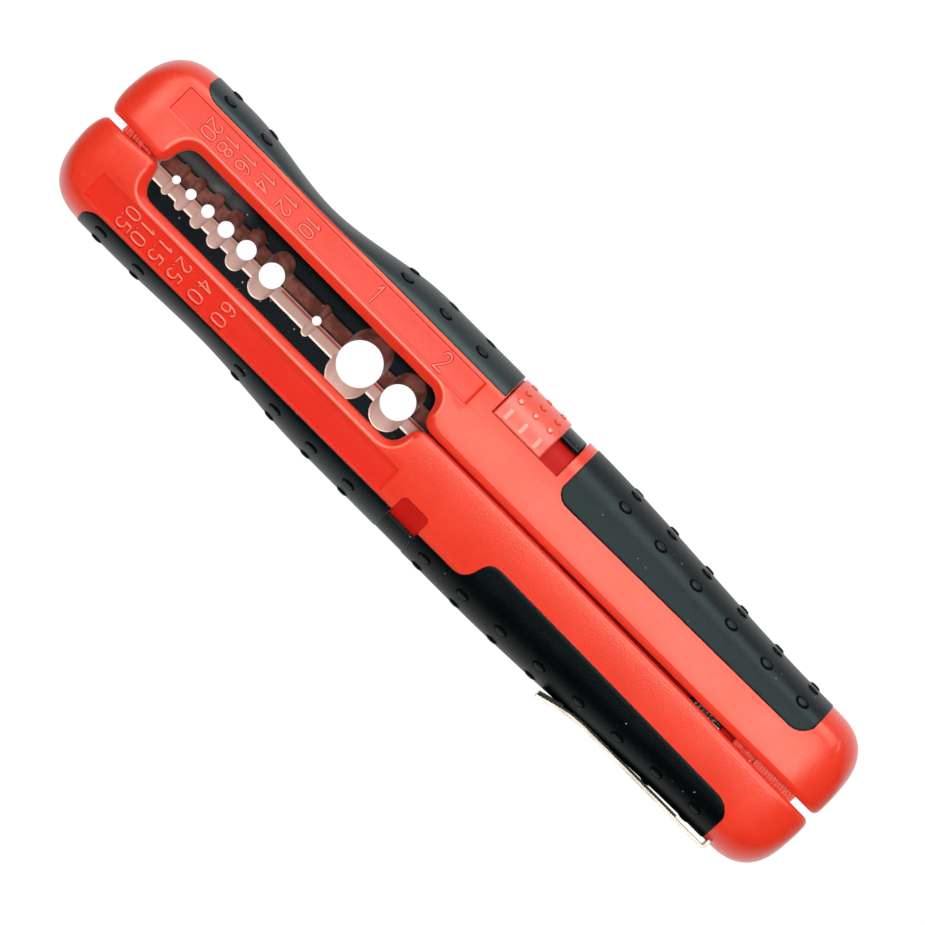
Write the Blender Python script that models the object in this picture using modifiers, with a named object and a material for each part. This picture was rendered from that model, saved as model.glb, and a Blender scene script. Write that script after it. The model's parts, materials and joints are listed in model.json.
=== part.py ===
"""Wire stripping pliers in the shape of a pen.

Two moulded halves turn on a hinge pin at the rear end and meet along a slit. Each half carries
a black blade carrier with two ground steel blades, and the notches of the two halves make
round stripping holes in a long window. A thumb slide on one half locks the other one shut.
A spring clip sits on the side of the other half, and both halves have soft moulded grips.

The tool lies on its back face: +X runs from the jaw end to the hinge end, +Y to the half with
the lock slide, and +Z out of the front face. All sizes are in metres.
"""
import math
from collections import namedtuple

import bmesh
import bpy
from mathutils import Matrix, Vector

# Overall size
LENGTH = 0.1247
THICKNESS = 0.019
MID = THICKNESS / 2
FRONT = -LENGTH / 2
REAR = LENGTH / 2

# Clearances
SEAT_GAP = 0.0003
RUN_GAP = 0.0004
PAST = 0.004

# Outer form of a half, seen from the front: stations are measured from the jaw end or the
# hinge end, and each drop is taken off the half's full width
NOSE_ROUND = 0.0075
NOSE_END = 0.0130
WAIST = 0.0285
SHOULDER = 0.0470
TAIL_END = 0.0095
TAIL_ROUND = 0.0068
END_WIDTH = 0.0042
END_HEIGHT = 0.0050
END_CORNER = 0.0012
DOME_LENGTH = 0.0050
PLAN_POWER = 2.4
DOME_POWER = 2.1

# Cross section of a half
SIDE_POWER = 2.3
SIDE_RUN_FRONT = 0.0036
SIDE_RUN_REAR = 0.0056
SIDE_RUN_SHARE = 0.8
SLIT_EDGE = 0.0007
SLIT_CLOSED = 0.00015
SLIT_END = 0.0005

# Window and the blades in it
WINDOW_FRONT = 0.0101
WINDOW_HALF = 0.0043
WINDOW_RADIUS = 0.0022
WINDOW_MARGIN = 0.0007
WINDOW_TIP_RUN = 0.0018
WINDOW_TIP = 0.0004
WINDOW_FLARE = 0.0010
FLARE_LIFT = 0.00005
BLADE_EDGE = 0.00012
BLADE_HALF = 0.0018
BEVEL_RUN = 0.0018
BLADE_BACK = 0.0066
BLADE_COVER = 0.0008
BLADE_MARGIN = 0.0005
# Stripping holes: distance of the centre from the jaw end, and diameter
WIRE_HOLES = ((0.01227, 0.0011), (0.01484, 0.0014), (0.01782, 0.0017),
              (0.02103, 0.0021), (0.02467, 0.00255), (0.02917, 0.0033))
COAX_HOLES = ((0.03712, 0.0012), (0.04473, 0.0060), (0.05152, 0.0046))
WINDOW_SHOULDER = COAX_HOLES[-1][0] + COAX_HOLES[-1][1] / 2 + WINDOW_MARGIN
WINDOW_REAR = WINDOW_SHOULDER + WINDOW_TIP_RUN
BLADE_FRONT = WINDOW_FRONT - BLADE_COVER
BLADE_SPLIT = WIRE_HOLES[-1][0] + WIRE_HOLES[-1][1] / 2 + BLADE_MARGIN
BLADE_REAR = WINDOW_REAR + BLADE_COVER
CARRIER_HALF = 0.0040
CARRIER_WALL = 0.0009
CARRIER_LIP = 0.00015
DOWEL_RADIUS = 0.00075
DOWEL_INSET = 0.0008
DOWEL_END = 0.0024
DOWEL_MIDDLE = 0.0036
DOWEL_STATIONS = (BLADE_FRONT + DOWEL_END, BLADE_SPLIT - DOWEL_MIDDLE,
                  BLADE_SPLIT + DOWEL_MIDDLE, BLADE_REAR - DOWEL_END)

# Label panels, sunk into both faces
PANEL_FRONT = 0.0057
PANEL_PAST = 0.0014
PANEL_REAR = WINDOW_REAR + PANEL_PAST
PANEL_INNER = 0.0058
PANEL_OUTER = 0.0094
PANEL_DEPTH = 0.0003
PANEL_RADIUS = 0.0004

# Soft grips
GRIP_WALL = 0.0012
GRIP_FRONT = 0.0070
GRIP_EDGE_FRONT = 0.0100
GRIP_EDGE_REAR = 0.0055
GRIP_EDGE_TAIL = 0.0061
GRIP_REAR = 0.0077
GRIP_RADIUS = 0.0022
GRIP_LEAN = 0.0010
STUD_END = 0.0034
STUD_FRONT_COUNT = 2
DOT_PITCH = 0.00653
DOT_LENGTH = 0.0019
DOT_WIDTH = 0.0013
DOT_HEIGHT = 0.0002
DOT_SUNK = 0.0003
DOT_ROWS = (0.0073, 0.0022)
DOT_SIDES = 6
DOT_TOP_SHARE = 0.7

# Lock slide, its slot and its hook
SLIDE_FRONT = 0.0608
SLIDE_LENGTH = 0.0081
SLIDE_TRAVEL = 0.0030
SLIDE_EDGE = 0.0075
SLIDE_SUNK = 0.00035
SLIDE_WALL = 0.0013
SLIDE_MARKS = 3
MARK_PITCH = 0.00253
MARK_WIDTH = 0.0008
MARK_INSET = 0.0003
MARK_HEIGHT = 0.0002
MARK_SPAN = 0.0018
DETENT_WALL = 0.0005
DETENT_EDGE = 0.0112
HOOK_FRONT = 0.0006
HOOK_ARM = 0.0026
HOOK_NOSE = 0.0029
HOOK_HALF = 0.0012
HOOK_REACH = 0.0040
HOOK_NOSE_HEIGHT = 0.0011
CATCH_RADIUS = 0.0010
CATCH_HALF = 0.0040

# Recess of the other half, opposite the slide
RECESS_FRONT = 0.0604
RECESS_LENGTH = 0.0045
RECESS_EDGE = 0.0075
RECESS_DEPTH = 0.0012
GRIP_NOTCH_DEPTH = 0.0006

# Bridge between the slot of the slide and the rear grip
BRIDGE = 0.0013

# Hinge
HINGE_INSET = 0.0068
KNUCKLE_RADIUS = 0.0033
TONGUE_HALF = 0.0022
LUG_HEIGHT = 0.0035
HINGE_NECK = 0.0050
HINGE_PIN_RADIUS = 0.00125

# Guide tongue between the jaw ends
GUIDE_FRONT = 0.0035
GUIDE_LENGTH = 0.0045
GUIDE_DEPTH = 0.0014
GUIDE_HALF = 0.0014

# Opening spring
SPRING_REAR = 0.0168
SPRING_COILS = 6
SPRING_PITCH = 0.00063
SPRING_RADIUS = 0.0013
SPRING_WIRE = 0.0004
SPRING_TAIL = 0.0040
SPRING_STEPS = 10

# Spring clip
CLIP_ROOT = 0.0068
CLIP_SHEET = 0.0004
CLIP_HALF = 0.0040
CLIP_TAB = 0.0025
CLIP_STAND = 0.0011
CLIP_STRAIGHT = 0.0220
CLIP_FLARE_RUN = 0.0063
CLIP_FLARE_RISE = 0.0012
CLIP_BEND = 0.0006

Half = namedtuple("Half", "name side width nose_drop waist_drop tail_drop")
LOCK_HALF = Half("lock_half", 1, 0.0135, 0.0007, 0.0023, 0.0017)
CLIP_HALF_BODY = Half("clip_half", -1, 0.0128, 0.0006, 0.0010, 0.0015)

SECTION_STEPS = 5
END_STEPS = 5
ARC_STEPS = 4
ARC_SIDE_SHARE = 0.48
ARC_MIDDLE = 1 - math.sqrt(0.5)
PIN_SIDES = 16


def clear_scene():
    for item in list(bpy.data.objects):
        bpy.data.objects.remove(item)


def new_collection(name):
    group = bpy.data.collections.new(name)
    bpy.context.scene.collection.children.link(group)
    return group


def material(name, colour, roughness, metallic=0.0):
    mat = bpy.data.materials.new(name)
    mat.use_nodes = True
    shader = mat.node_tree.nodes["Principled BSDF"]
    shader.inputs["Base Color"].default_value = (*colour, 1.0)
    shader.inputs["Roughness"].default_value = roughness
    shader.inputs["Metallic"].default_value = metallic
    mat.diffuse_color = (*colour, 1.0)
    return mat


def add_object(name, mesh, group):
    item = bpy.data.objects.new(name, mesh)
    group.objects.link(item)
    if group is CUTTERS:
        item.hide_render = True
        item.display_type = "WIRE"
    return item


def mesh_from(bm, name):
    bmesh.ops.recalc_face_normals(bm, faces=bm.faces)
    mesh = bpy.data.meshes.new(name)
    bm.to_mesh(mesh)
    bm.free()
    return mesh


def block(name, x_range, y_range, z_range, group=None):
    """A box between the given limits."""
    low = Vector((x_range[0], y_range[0], z_range[0]))
    high = Vector((x_range[1], y_range[1], z_range[1]))
    bm = bmesh.new()
    size = Matrix.Diagonal((*(high - low), 1))
    bmesh.ops.create_cube(bm, size=1, matrix=Matrix.Translation((low + high) / 2) @ size)
    return add_object(name, mesh_from(bm, name), group or CUTTERS)


def pin(name, centres, radius, z_range, group=None):
    """One or more round pins that stand along Z at the given centres."""
    bm = bmesh.new()
    for x, y in centres:
        place = Matrix.Translation((x, y, sum(z_range) / 2))
        bmesh.ops.create_cone(bm, cap_ends=True, segments=PIN_SIDES, radius1=radius,
                              radius2=radius, depth=z_range[1] - z_range[0], matrix=place)
    return add_object(name, mesh_from(bm, name), group or CUTTERS)


def rounded(corners):
    """The outline through corners (x, y, radius), with an arc at each one."""
    points = []
    for index, (x, y, radius) in enumerate(corners):
        here = Vector((x, y))
        before = (Vector(corners[index - 1][:2]) - here)
        after = (Vector(corners[(index + 1) % len(corners)][:2]) - here)
        if radius == 0:
            points.append(here)
            continue
        half_angle = before.angle(after) / 2
        longest = ARC_SIDE_SHARE * min(before.length, after.length)
        reach = min(radius / math.tan(half_angle), longest)
        radius = reach * math.tan(half_angle)
        middle = (before.normalized() + after.normalized()).normalized()
        centre = here + middle * radius / math.sin(half_angle)
        start = here + before.normalized() * reach - centre
        sweep = start.angle_signed(here + after.normalized() * reach - centre)
        for step in range(ARC_STEPS + 1):
            turn = Matrix.Rotation(-sweep * step / ARC_STEPS, 2)
            points.append(centre + turn @ start)
    return points


def grown(points, distance):
    """The outline moved outwards by a distance, with its corners mitred."""
    count = len(points)
    area = sum(points[i - 1].cross(points[i]) for i in range(count))
    sign = 1 if area > 0 else -1
    result = []
    for index, here in enumerate(points):
        first = (here - points[index - 1]).normalized()
        second = (points[(index + 1) % count] - here).normalized()
        normal = Vector((first.y + second.y, -first.x - second.x)).normalized()
        across = normal.dot(Vector((first.y, -first.x)))
        result.append(here + normal * sign * distance / across)
    return result


def curve_solid(name, points, z_middle, half_height, bevel, group):
    """A flat closed outline given its thickness, turned into a mesh."""
    curve = bpy.data.curves.new(name, "CURVE")
    curve.dimensions = "2D"
    curve.fill_mode = "BOTH"
    curve.extrude = half_height
    curve.bevel_depth = bevel
    curve.bevel_resolution = 0
    spline = curve.splines.new("POLY")
    spline.points.add(len(points) - 1)
    for point, place in zip(spline.points, points):
        point.co = (place[0], place[1], 0, 1)
    spline.use_cyclic_u = True
    source = bpy.data.objects.new(name + "_curve", curve)
    source.location.z = z_middle
    bpy.context.scene.collection.objects.link(source)
    bpy.context.view_layer.update()
    evaluated = source.evaluated_get(bpy.context.evaluated_depsgraph_get())
    bm = bmesh.new()
    bm.from_mesh(bpy.data.meshes.new_from_object(evaluated))
    bmesh.ops.remove_doubles(bm, verts=bm.verts, dist=1e-6)
    item = add_object(name, mesh_from(bm, name), group)
    item.matrix_world = source.matrix_world
    bpy.data.objects.remove(source)
    return item


def plate(name, points, z_range, group=None):
    """A flat solid with the given outline between two heights."""
    middle = sum(z_range) / 2
    return curve_solid(name, points, middle, z_range[1] - middle, 0, group or CUTTERS)


def flare(name, points, height, depth):
    """A cutter that widens an opening towards the face at the given height."""
    return curve_solid(name, points, height, 0, depth, CUTTERS)


def combine(item, operation, others):
    for other in others:
        change = item.modifiers.new(other.name, "BOOLEAN")
        change.operation = operation
        change.object = other
        change.solver = "EXACT"


def cut(item, *others):
    combine(item, "DIFFERENCE", others)


def join(item, *others):
    combine(item, "UNION", others)


def keep_inside(item, *others):
    combine(item, "INTERSECT", others)


def loft(name, rings, group):
    """A closed solid through rings that all have the same number of points."""
    bm = bmesh.new()
    rows = [[bm.verts.new(point) for point in ring] for ring in rings]
    for row, following in zip(rows, rows[1:]):
        for index in range(len(row)):
            bm.faces.new((row[index - 1], row[index], following[index], following[index - 1]))
    bm.faces.new(rows[0])
    bm.faces.new(rows[-1])
    mesh = mesh_from(bm, name)
    mesh.shade_smooth()
    mesh.set_sharp_from_angle(angle=math.radians(35))
    return add_object(name, mesh, group)


def eased(x, keys):
    """A value that runs smoothly through keys (x, value)."""
    if x <= keys[0][0]:
        return keys[0][1]
    for (x0, low), (x1, high) in zip(keys, keys[1:]):
        if x <= x1:
            share = (x - x0) / (x1 - x0)
            return low + (high - low) * share * share * (3 - 2 * share)
    return keys[-1][1]


def fall(share, power):
    """A superellipse's height, from 1 at share 0 to 0 at share 1."""
    share = min(max(share, 0), 1)
    return (1 - share ** power) ** (1 / power)


def end_share(x, front_run, rear_run):
    """How far a station is into the rounding of the nearer end, from 0 to 1."""
    return max((FRONT + front_run - x) / front_run, (x - REAR + rear_run) / rear_run, 0)


def tail_start():
    """Where the halves start to get narrower, behind the slide's slot and its bridge."""
    return SLIDE_FRONT + SLIDE_LENGTH + SLIDE_TRAVEL + BRIDGE


def side_at(half, x):
    """The half's width at its middle height."""
    keys = ((FRONT + NOSE_ROUND, half.width - half.nose_drop),
            (FRONT + NOSE_END, half.width - half.nose_drop),
            (FRONT + WAIST, half.width - half.waist_drop),
            (FRONT + SHOULDER, half.width),
            (FRONT + tail_start(), half.width),
            (REAR - TAIL_END, half.width - half.tail_drop))
    full = eased(x, keys)
    return END_WIDTH + (full - END_WIDTH) * fall(end_share(x, NOSE_ROUND, TAIL_ROUND), PLAN_POWER)


def height_at(x):
    """Half of the height at a station."""
    share = end_share(x, DOME_LENGTH, DOME_LENGTH)
    return END_HEIGHT + (MID - END_HEIGHT) * fall(share, DOME_POWER)


def slit_at(x):
    """Distance of the slit's wall from the middle plane."""
    window_front, window_rear = FRONT + WINDOW_FRONT, FRONT + WINDOW_REAR
    if x < window_front:
        share = min((window_front - x) / (WINDOW_FRONT - GUIDE_FRONT), 1)
    else:
        share = max((x - window_rear) / (REAR - window_rear), 0)
    corner = END_CORNER * (1 - fall(end_share(x, END_CORNER, END_CORNER), 2))
    return SLIT_CLOSED + (SLIT_END - SLIT_CLOSED) * share + corner


def side_run(half, x):
    """How far in from the side the faces begin to fall away."""
    share = (x - FRONT) / LENGTH
    run = SIDE_RUN_FRONT + (SIDE_RUN_REAR - SIDE_RUN_FRONT) * share
    return min(run, SIDE_RUN_SHARE * (side_at(half, x) - slit_at(x)))


def section(half, x, inset):
    """The cross section at a station, from the slit round the side and back."""
    slit = slit_at(x) if inset == 0 else -PAST
    edge = SLIT_EDGE if inset == 0 else 0
    run = side_run(half, x)
    tall = height_at(x) - inset
    start = side_at(half, x) - run
    quarter = []
    for step in range(SECTION_STEPS + 1):
        angle = math.pi / 2 * step / SECTION_STEPS
        out = math.sin(angle) ** (2 / SIDE_POWER)
        up = math.cos(angle) ** (2 / SIDE_POWER)
        quarter.append((start + (run - inset) * out, up * tall))
    bulge = ARC_MIDDLE * edge
    upper = [(slit, tall - edge), (slit + bulge, tall - bulge), (slit + edge, tall)]
    upper = (upper if edge else [(slit, tall)]) + quarter
    lower = [(y, -z) for y, z in reversed(upper[:-1])]
    return [(x, half.side * y, MID + z) for y, z in upper + lower]


def stations():
    """Places along the tool where the outer form needs a section."""
    ends = [math.sin(math.pi / 2 * step / END_STEPS) for step in range(END_STEPS, 0, -1)]
    front = [FRONT + NOSE_ROUND * (1 - share) for share in ends]
    rear = [REAR - TAIL_ROUND * (1 - share) for share in reversed(ends)]
    waist_steps = 4
    dip = []
    for low, high in ((NOSE_END, WAIST), (WAIST, SHOULDER)):
        dip += [FRONT + low + (high - low) * step / waist_steps for step in range(waist_steps)]
    tail_run = REAR - TAIL_END - FRONT - tail_start()
    tail = [FRONT + tail_start() + tail_run * step / 3 for step in range(4)]
    return front + [FRONT + NOSE_ROUND] + dip + [FRONT + SHOULDER] + tail + [REAR - TAIL_ROUND] + rear


def form(half, name, inset=0, group=None):
    """The outer form of a half, or the same form drawn in by an inset."""
    rings = [section(half, x, inset) for x in stations()]
    return loft(half.name + name, rings, group or CUTTERS)


def skin_piece(half, name, outline, outer_inset, wall, group=None):
    """The part of a half's skin inside an outline, from one depth to another."""
    item = form(half, name, outer_inset, group)
    whole = (-PAST, THICKNESS + PAST)
    keep_inside(item, plate(item.name + "_area", outline, whole))
    cut(item, form(half, name + "_core", outer_inset + wall))
    return item


def skin_cutter(half, name, outline, depth):
    """A cutter that takes a half's skin away inside an outline, down to a depth."""
    item = plate(half.name + name, outline, (-PAST, THICKNESS + PAST))
    cut(item, form(half, name + "_core", depth))
    return item


def mirrored(half, corners):
    return [(x, half.side * y, radius) for x, y, radius in corners]


def grip_outlines():
    """The outlines of the three grips: two on the lock half, one on the clip half."""
    far = LOCK_HALF.width + PAST
    nose = FRONT + GRIP_FRONT
    slot = FRONT + SLIDE_FRONT - SEAT_GAP
    tail = REAR - GRIP_REAR
    rear_start = FRONT + tail_start()
    front = [(nose, far, 0), (nose, GRIP_EDGE_FRONT, 2 * GRIP_RADIUS),
             (slot - SEAT_GAP / 2, GRIP_EDGE_FRONT, 0), (slot - SEAT_GAP / 2, far, 0)]
    rear = [(rear_start, far, 0), (rear_start, GRIP_EDGE_REAR, GRIP_RADIUS),
            (tail, GRIP_EDGE_TAIL, GRIP_RADIUS), (tail - GRIP_LEAN, far, 0)]
    whole = [(nose, far, 0), (nose, GRIP_EDGE_FRONT, 2 * GRIP_RADIUS),
             (rear_start, GRIP_EDGE_FRONT, GRIP_RADIUS),
             (rear_start + GRIP_LEAN, GRIP_EDGE_REAR, GRIP_RADIUS),
             (tail, GRIP_EDGE_TAIL, GRIP_RADIUS), (tail - GRIP_LEAN, far, 0)]
    return front, rear, whole


def stud_ranges():
    """First and last station of each run of studs: both front grips, and the two rear runs."""
    nose = GRIP_FRONT + STUD_END
    front = (nose, nose + (STUD_FRONT_COUNT - 1) * DOT_PITCH)
    waist = WAIST + DOT_PITCH
    slot = SLIDE_FRONT - STUD_END
    last = LENGTH - GRIP_REAR - STUD_END
    lock_front = [front, (waist + DOT_PITCH, slot)]
    lock_rear = [(tail_start() + 2 * STUD_END, last)]
    clip_whole = [front, (waist, slot), (RECESS_FRONT + RECESS_LENGTH + STUD_END, last)]
    return lock_front, lock_rear, clip_whole


def surface_frame(half, x, z):
    """A frame on a half's side at a station and height, with its Z pointing out."""
    def place(x, z):
        share = abs(z - MID) / height_at(x)
        out = side_at(half, x) - side_run(half, x) * (1 - fall(share, SIDE_POWER))
        return Vector((x, half.side * out, z))
    step = DOT_WIDTH / 8
    here = place(x, z)
    along = (place(x + step, z) - place(x - step, z)).normalized()
    up = (place(x, z + step) - place(x, z - step)).normalized()
    out = along.cross(up) * -half.side
    out = out if out.y * half.side > 0 else -out
    across = out.cross(along).normalized()
    frame = Matrix((along, across, out.normalized())).transposed().to_4x4()
    return Matrix.Translation(here) @ frame


def dots(half, name, first, last):
    """Low oval studs in four rows on a grip, at a fixed pitch."""
    bm = bmesh.new()
    count = int((last - first) / DOT_PITCH + 1e-6) + 1
    for step in range(count):
        x = FRONT + first + step * DOT_PITCH
        for row in DOT_ROWS:
            for z in (MID + row, MID - row):
                lift = Matrix.Translation((0, 0, (DOT_HEIGHT - DOT_SUNK) / 2))
                shape = Matrix.Diagonal((DOT_LENGTH / 2, DOT_WIDTH / 2, 1, 1))
                bmesh.ops.create_cone(bm, cap_ends=True, segments=DOT_SIDES, radius1=1,
                                      radius2=DOT_TOP_SHARE, depth=DOT_HEIGHT + DOT_SUNK,
                                      matrix=surface_frame(half, x, z) @ lift @ shape)
    return add_object(half.name + name, mesh_from(bm, name), CUTTERS)


def notched(side, front, rear, holes, edge, back, shift):
    """A blade's outline: a straight edge with a round notch at each hole."""
    points = [(FRONT + front, edge + shift)]
    for station, diameter in holes:
        radius = diameter / 2
        start = math.asin(min(edge / radius, 1))
        for step in range(2 * ARC_STEPS + 1):
            angle = math.pi - start - (math.pi - 2 * start) * step / (2 * ARC_STEPS)
            points.append((FRONT + station + radius * math.cos(angle),
                           shift + radius * math.sin(angle)))
    points += [(FRONT + rear, edge + shift), (FRONT + rear, back), (FRONT + front, back)]
    return [Vector((x, side * y)) for x, y in points]


def blade(half, name, front, rear, holes):
    """A steel blade whose notched edge slopes back on both faces."""
    rings = []
    for height, shift in ((-BLADE_HALF, BEVEL_RUN), (0, 0), (BLADE_HALF, BEVEL_RUN)):
        outline = notched(half.side, front, rear, holes, BLADE_EDGE, BLADE_BACK, shift)
        rings.append([(x, y, MID + height) for x, y in outline])
    item = loft(name + "_" + half.name, rings, PARTS)
    cut(item, pin(item.name + "_holes", dowel_centres(half), DOWEL_RADIUS + SEAT_GAP,
                  (MID - BLADE_HALF - PAST, MID + BLADE_HALF + PAST)))
    item.data.materials.append(STEEL)
    return item


def dowel_centres(half):
    across = half.side * (BLADE_BACK - DOWEL_INSET)
    return [(FRONT + station, across) for station in DOWEL_STATIONS]


def carrier(half):
    """The black carrier that clamps the two blades of a half between its lips."""
    back = BLADE_BACK + SEAT_GAP + CARRIER_WALL
    outline = notched(half.side, BLADE_FRONT, BLADE_REAR, WIRE_HOLES + COAX_HOLES,
                      BLADE_EDGE, back, BEVEL_RUN + CARRIER_LIP)
    item = plate("blade_carrier_" + half.name, outline,
                 (MID - CARRIER_HALF, MID + CARRIER_HALF), PARTS)
    slot = BLADE_HALF + SEAT_GAP
    sides = sorted((-half.side * PAST, half.side * (BLADE_BACK + SEAT_GAP)))
    cut(item, block(item.name + "_slot", (FRONT, REAR), sides, (MID - slot, MID + slot)),
        pin(item.name + "_holes", dowel_centres(half), DOWEL_RADIUS + SEAT_GAP,
            (MID - CARRIER_HALF - PAST, MID + CARRIER_HALF + PAST)))
    item.data.materials.append(BLACK_PLASTIC)


def blades(half):
    """Everything that cuts in a half: carrier, two blades and their dowels."""
    carrier(half)
    middle = SEAT_GAP / 2
    blade(half, "wire_blade", BLADE_FRONT, BLADE_SPLIT - middle, WIRE_HOLES)
    blade(half, "coax_blade", BLADE_SPLIT + middle, BLADE_REAR, COAX_HOLES)
    reach = CARRIER_HALF - SEAT_GAP
    for number, centre in enumerate(dowel_centres(half), 1):
        dowel = pin("blade_dowel_" + half.name + "_" + str(number), [centre], DOWEL_RADIUS,
                    (MID - reach, MID + reach), PARTS)
        dowel.data.materials.append(STEEL)


def window_outline():
    front, rear = FRONT + WINDOW_FRONT, FRONT + WINDOW_REAR
    shoulder = FRONT + WINDOW_SHOULDER
    return rounded([(front, -WINDOW_HALF, WINDOW_RADIUS), (shoulder, -WINDOW_HALF, WINDOW_RADIUS),
                    (rear, -WINDOW_TIP, 0), (rear, WINDOW_TIP, 0),
                    (shoulder, WINDOW_HALF, WINDOW_RADIUS), (front, WINDOW_HALF, WINDOW_RADIUS)])


def cut_window(half, housing):
    """The window, its flared rims, the carrier's pocket and the label panels."""
    name = half.name
    outline = window_outline()
    pocket = BLADE_BACK + 2 * SEAT_GAP + CARRIER_WALL
    high = CARRIER_HALF + SEAT_GAP
    sides = sorted((-half.side * PAST, half.side * pocket))
    panel = rounded(mirrored(half, [(FRONT + PANEL_FRONT, PANEL_INNER, PANEL_RADIUS),
                                    (FRONT + PANEL_REAR, PANEL_INNER, PANEL_RADIUS),
                                    (FRONT + PANEL_REAR, PANEL_OUTER, PANEL_RADIUS),
                                    (FRONT + PANEL_FRONT, PANEL_OUTER, PANEL_RADIUS)]))
    cut(housing,
        plate(name + "_window", outline, (-PAST, THICKNESS + PAST)),
        flare(name + "_front_rim", outline, THICKNESS + FLARE_LIFT, WINDOW_FLARE),
        flare(name + "_back_rim", outline, -FLARE_LIFT, WINDOW_FLARE),
        block(name + "_carrier_pocket", (FRONT + BLADE_FRONT - SEAT_GAP, FRONT + BLADE_REAR + SEAT_GAP),
              sides, (MID - high, MID + high)),
        plate(name + "_front_panel", panel, (THICKNESS - PANEL_DEPTH, THICKNESS + PAST)),
        plate(name + "_back_panel", panel, (-PAST, PANEL_DEPTH)))


def grip(half, name, corners, rows):
    """A soft grip, with its studs, and the cutter for its seat in the housing."""
    outline = rounded(mirrored(half, corners))
    item = skin_piece(half, name, outline, 0, GRIP_WALL, PARTS)
    item.name = name[1:] + "_" + half.name
    join(item, *[dots(half, name + "_studs_" + str(index), first, last)
                 for index, (first, last) in enumerate(rows)])
    item.data.materials.append(RUBBER)
    seat = skin_cutter(half, name + "_seat", grown(outline, SEAT_GAP), GRIP_WALL + SEAT_GAP)
    return item, seat


def hinge_centre():
    return REAR - HINGE_INSET


def knuckle(half, name, radius, z_range, neck=0):
    """A round hinge plate on the pin's axis, with a neck towards its own half."""
    x = hinge_centre()
    points = []
    steps = 4 * ARC_STEPS
    for step in range(steps + (neck == 0) * (steps - 1) + 1):
        angle = math.pi * step / steps
        points.append(Vector((x + radius * math.cos(angle), -half.side * radius * math.sin(angle))))
    if neck:
        points += [Vector((x - radius, half.side * neck)), Vector((x + radius, half.side * neck))]
    return plate(half.name + name, points, z_range)


def lug_top():
    return TONGUE_HALF + SEAT_GAP + LUG_HEIGHT


def cut_hinge(half, housing):
    """The hinge on either half: one tongue on the lock half between two lugs."""
    clear = KNUCKLE_RADIUS + RUN_GAP
    if half is LOCK_HALF:
        top = lug_top() + SEAT_GAP
        cut(housing, knuckle(half, "_lug_pocket", clear, (MID - top, MID + top)))
        join(housing, knuckle(half, "_tongue", KNUCKLE_RADIUS, (MID - TONGUE_HALF, MID + TONGUE_HALF),
                              HINGE_NECK))
    else:
        low = TONGUE_HALF + SEAT_GAP
        join(housing, knuckle(half, "_lugs", KNUCKLE_RADIUS, (MID - lug_top(), MID + lug_top()),
                              HINGE_NECK))
        cut(housing, knuckle(half, "_tongue_pocket", clear, (MID - low, MID + low)))
    reach = lug_top() + SEAT_GAP / 2
    cut(housing, pin(half.name + "_pin_hole", [(hinge_centre(), 0)],
                     HINGE_PIN_RADIUS + SEAT_GAP, (MID - reach, MID + reach)))


def cut_spring_pocket(half, housing):
    """Each half has one side of the pocket in which the opening spring lies."""
    half_height = SPRING_RADIUS + SPRING_WIRE + SEAT_GAP
    coil_end = REAR - SPRING_REAR
    low = coil_end - SPRING_COILS * SPRING_PITCH - SPRING_WIRE - SEAT_GAP
    high = coil_end + SPRING_TAIL + SEAT_GAP
    cut(housing, block(half.name + "_spring_pocket", (low, high),
                       (-half_height, half_height), (MID - half_height, MID + half_height)))


def opening_spring():
    """A close coil with a straight leg back to the hinge, seen in the slit."""
    coil_end = REAR - SPRING_REAR
    points = []
    for step in range(SPRING_COILS * SPRING_STEPS + 1):
        turns = step / SPRING_STEPS
        angle = 2 * math.pi * turns + math.pi
        points.append((coil_end - (SPRING_COILS - turns) * SPRING_PITCH,
                       SPRING_RADIUS * math.sin(angle), MID + SPRING_RADIUS * math.cos(angle)))
    points.append((coil_end + SPRING_TAIL, 0, MID - SPRING_RADIUS))
    curve = bpy.data.curves.new("opening_spring", "CURVE")
    curve.dimensions = "3D"
    curve.bevel_depth = SPRING_WIRE / 2
    curve.bevel_resolution = 1
    curve.use_fill_caps = True
    spline = curve.splines.new("POLY")
    spline.points.add(len(points) - 1)
    for point, place in zip(spline.points, points):
        point.co = (*place, 1)
    curve.materials.append(STEEL)
    item = bpy.data.objects.new("opening_spring", curve)
    PARTS.objects.link(item)
    weld = item.modifiers.new("weld caps", "WELD")
    weld.merge_threshold = 1e-6


def hinge_pin():
    reach = lug_top() - SEAT_GAP / 2
    item = pin("hinge_pin", [(hinge_centre(), 0)], HINGE_PIN_RADIUS, (MID - reach, MID + reach), PARTS)
    item.data.materials.append(STEEL)


def guide_block(name, grow):
    x = FRONT + GUIDE_FRONT
    return block(name, (x - grow, x + GUIDE_LENGTH + grow), (-GUIDE_DEPTH - grow, GUIDE_DEPTH),
                 (MID - GUIDE_HALF - grow, MID + GUIDE_HALF + grow))


def slide_outline(front, rear, edge):
    far = LOCK_HALF.width + PAST
    return [Vector(point) for point in ((front, edge), (rear, edge), (rear, far), (front, far))]


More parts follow.
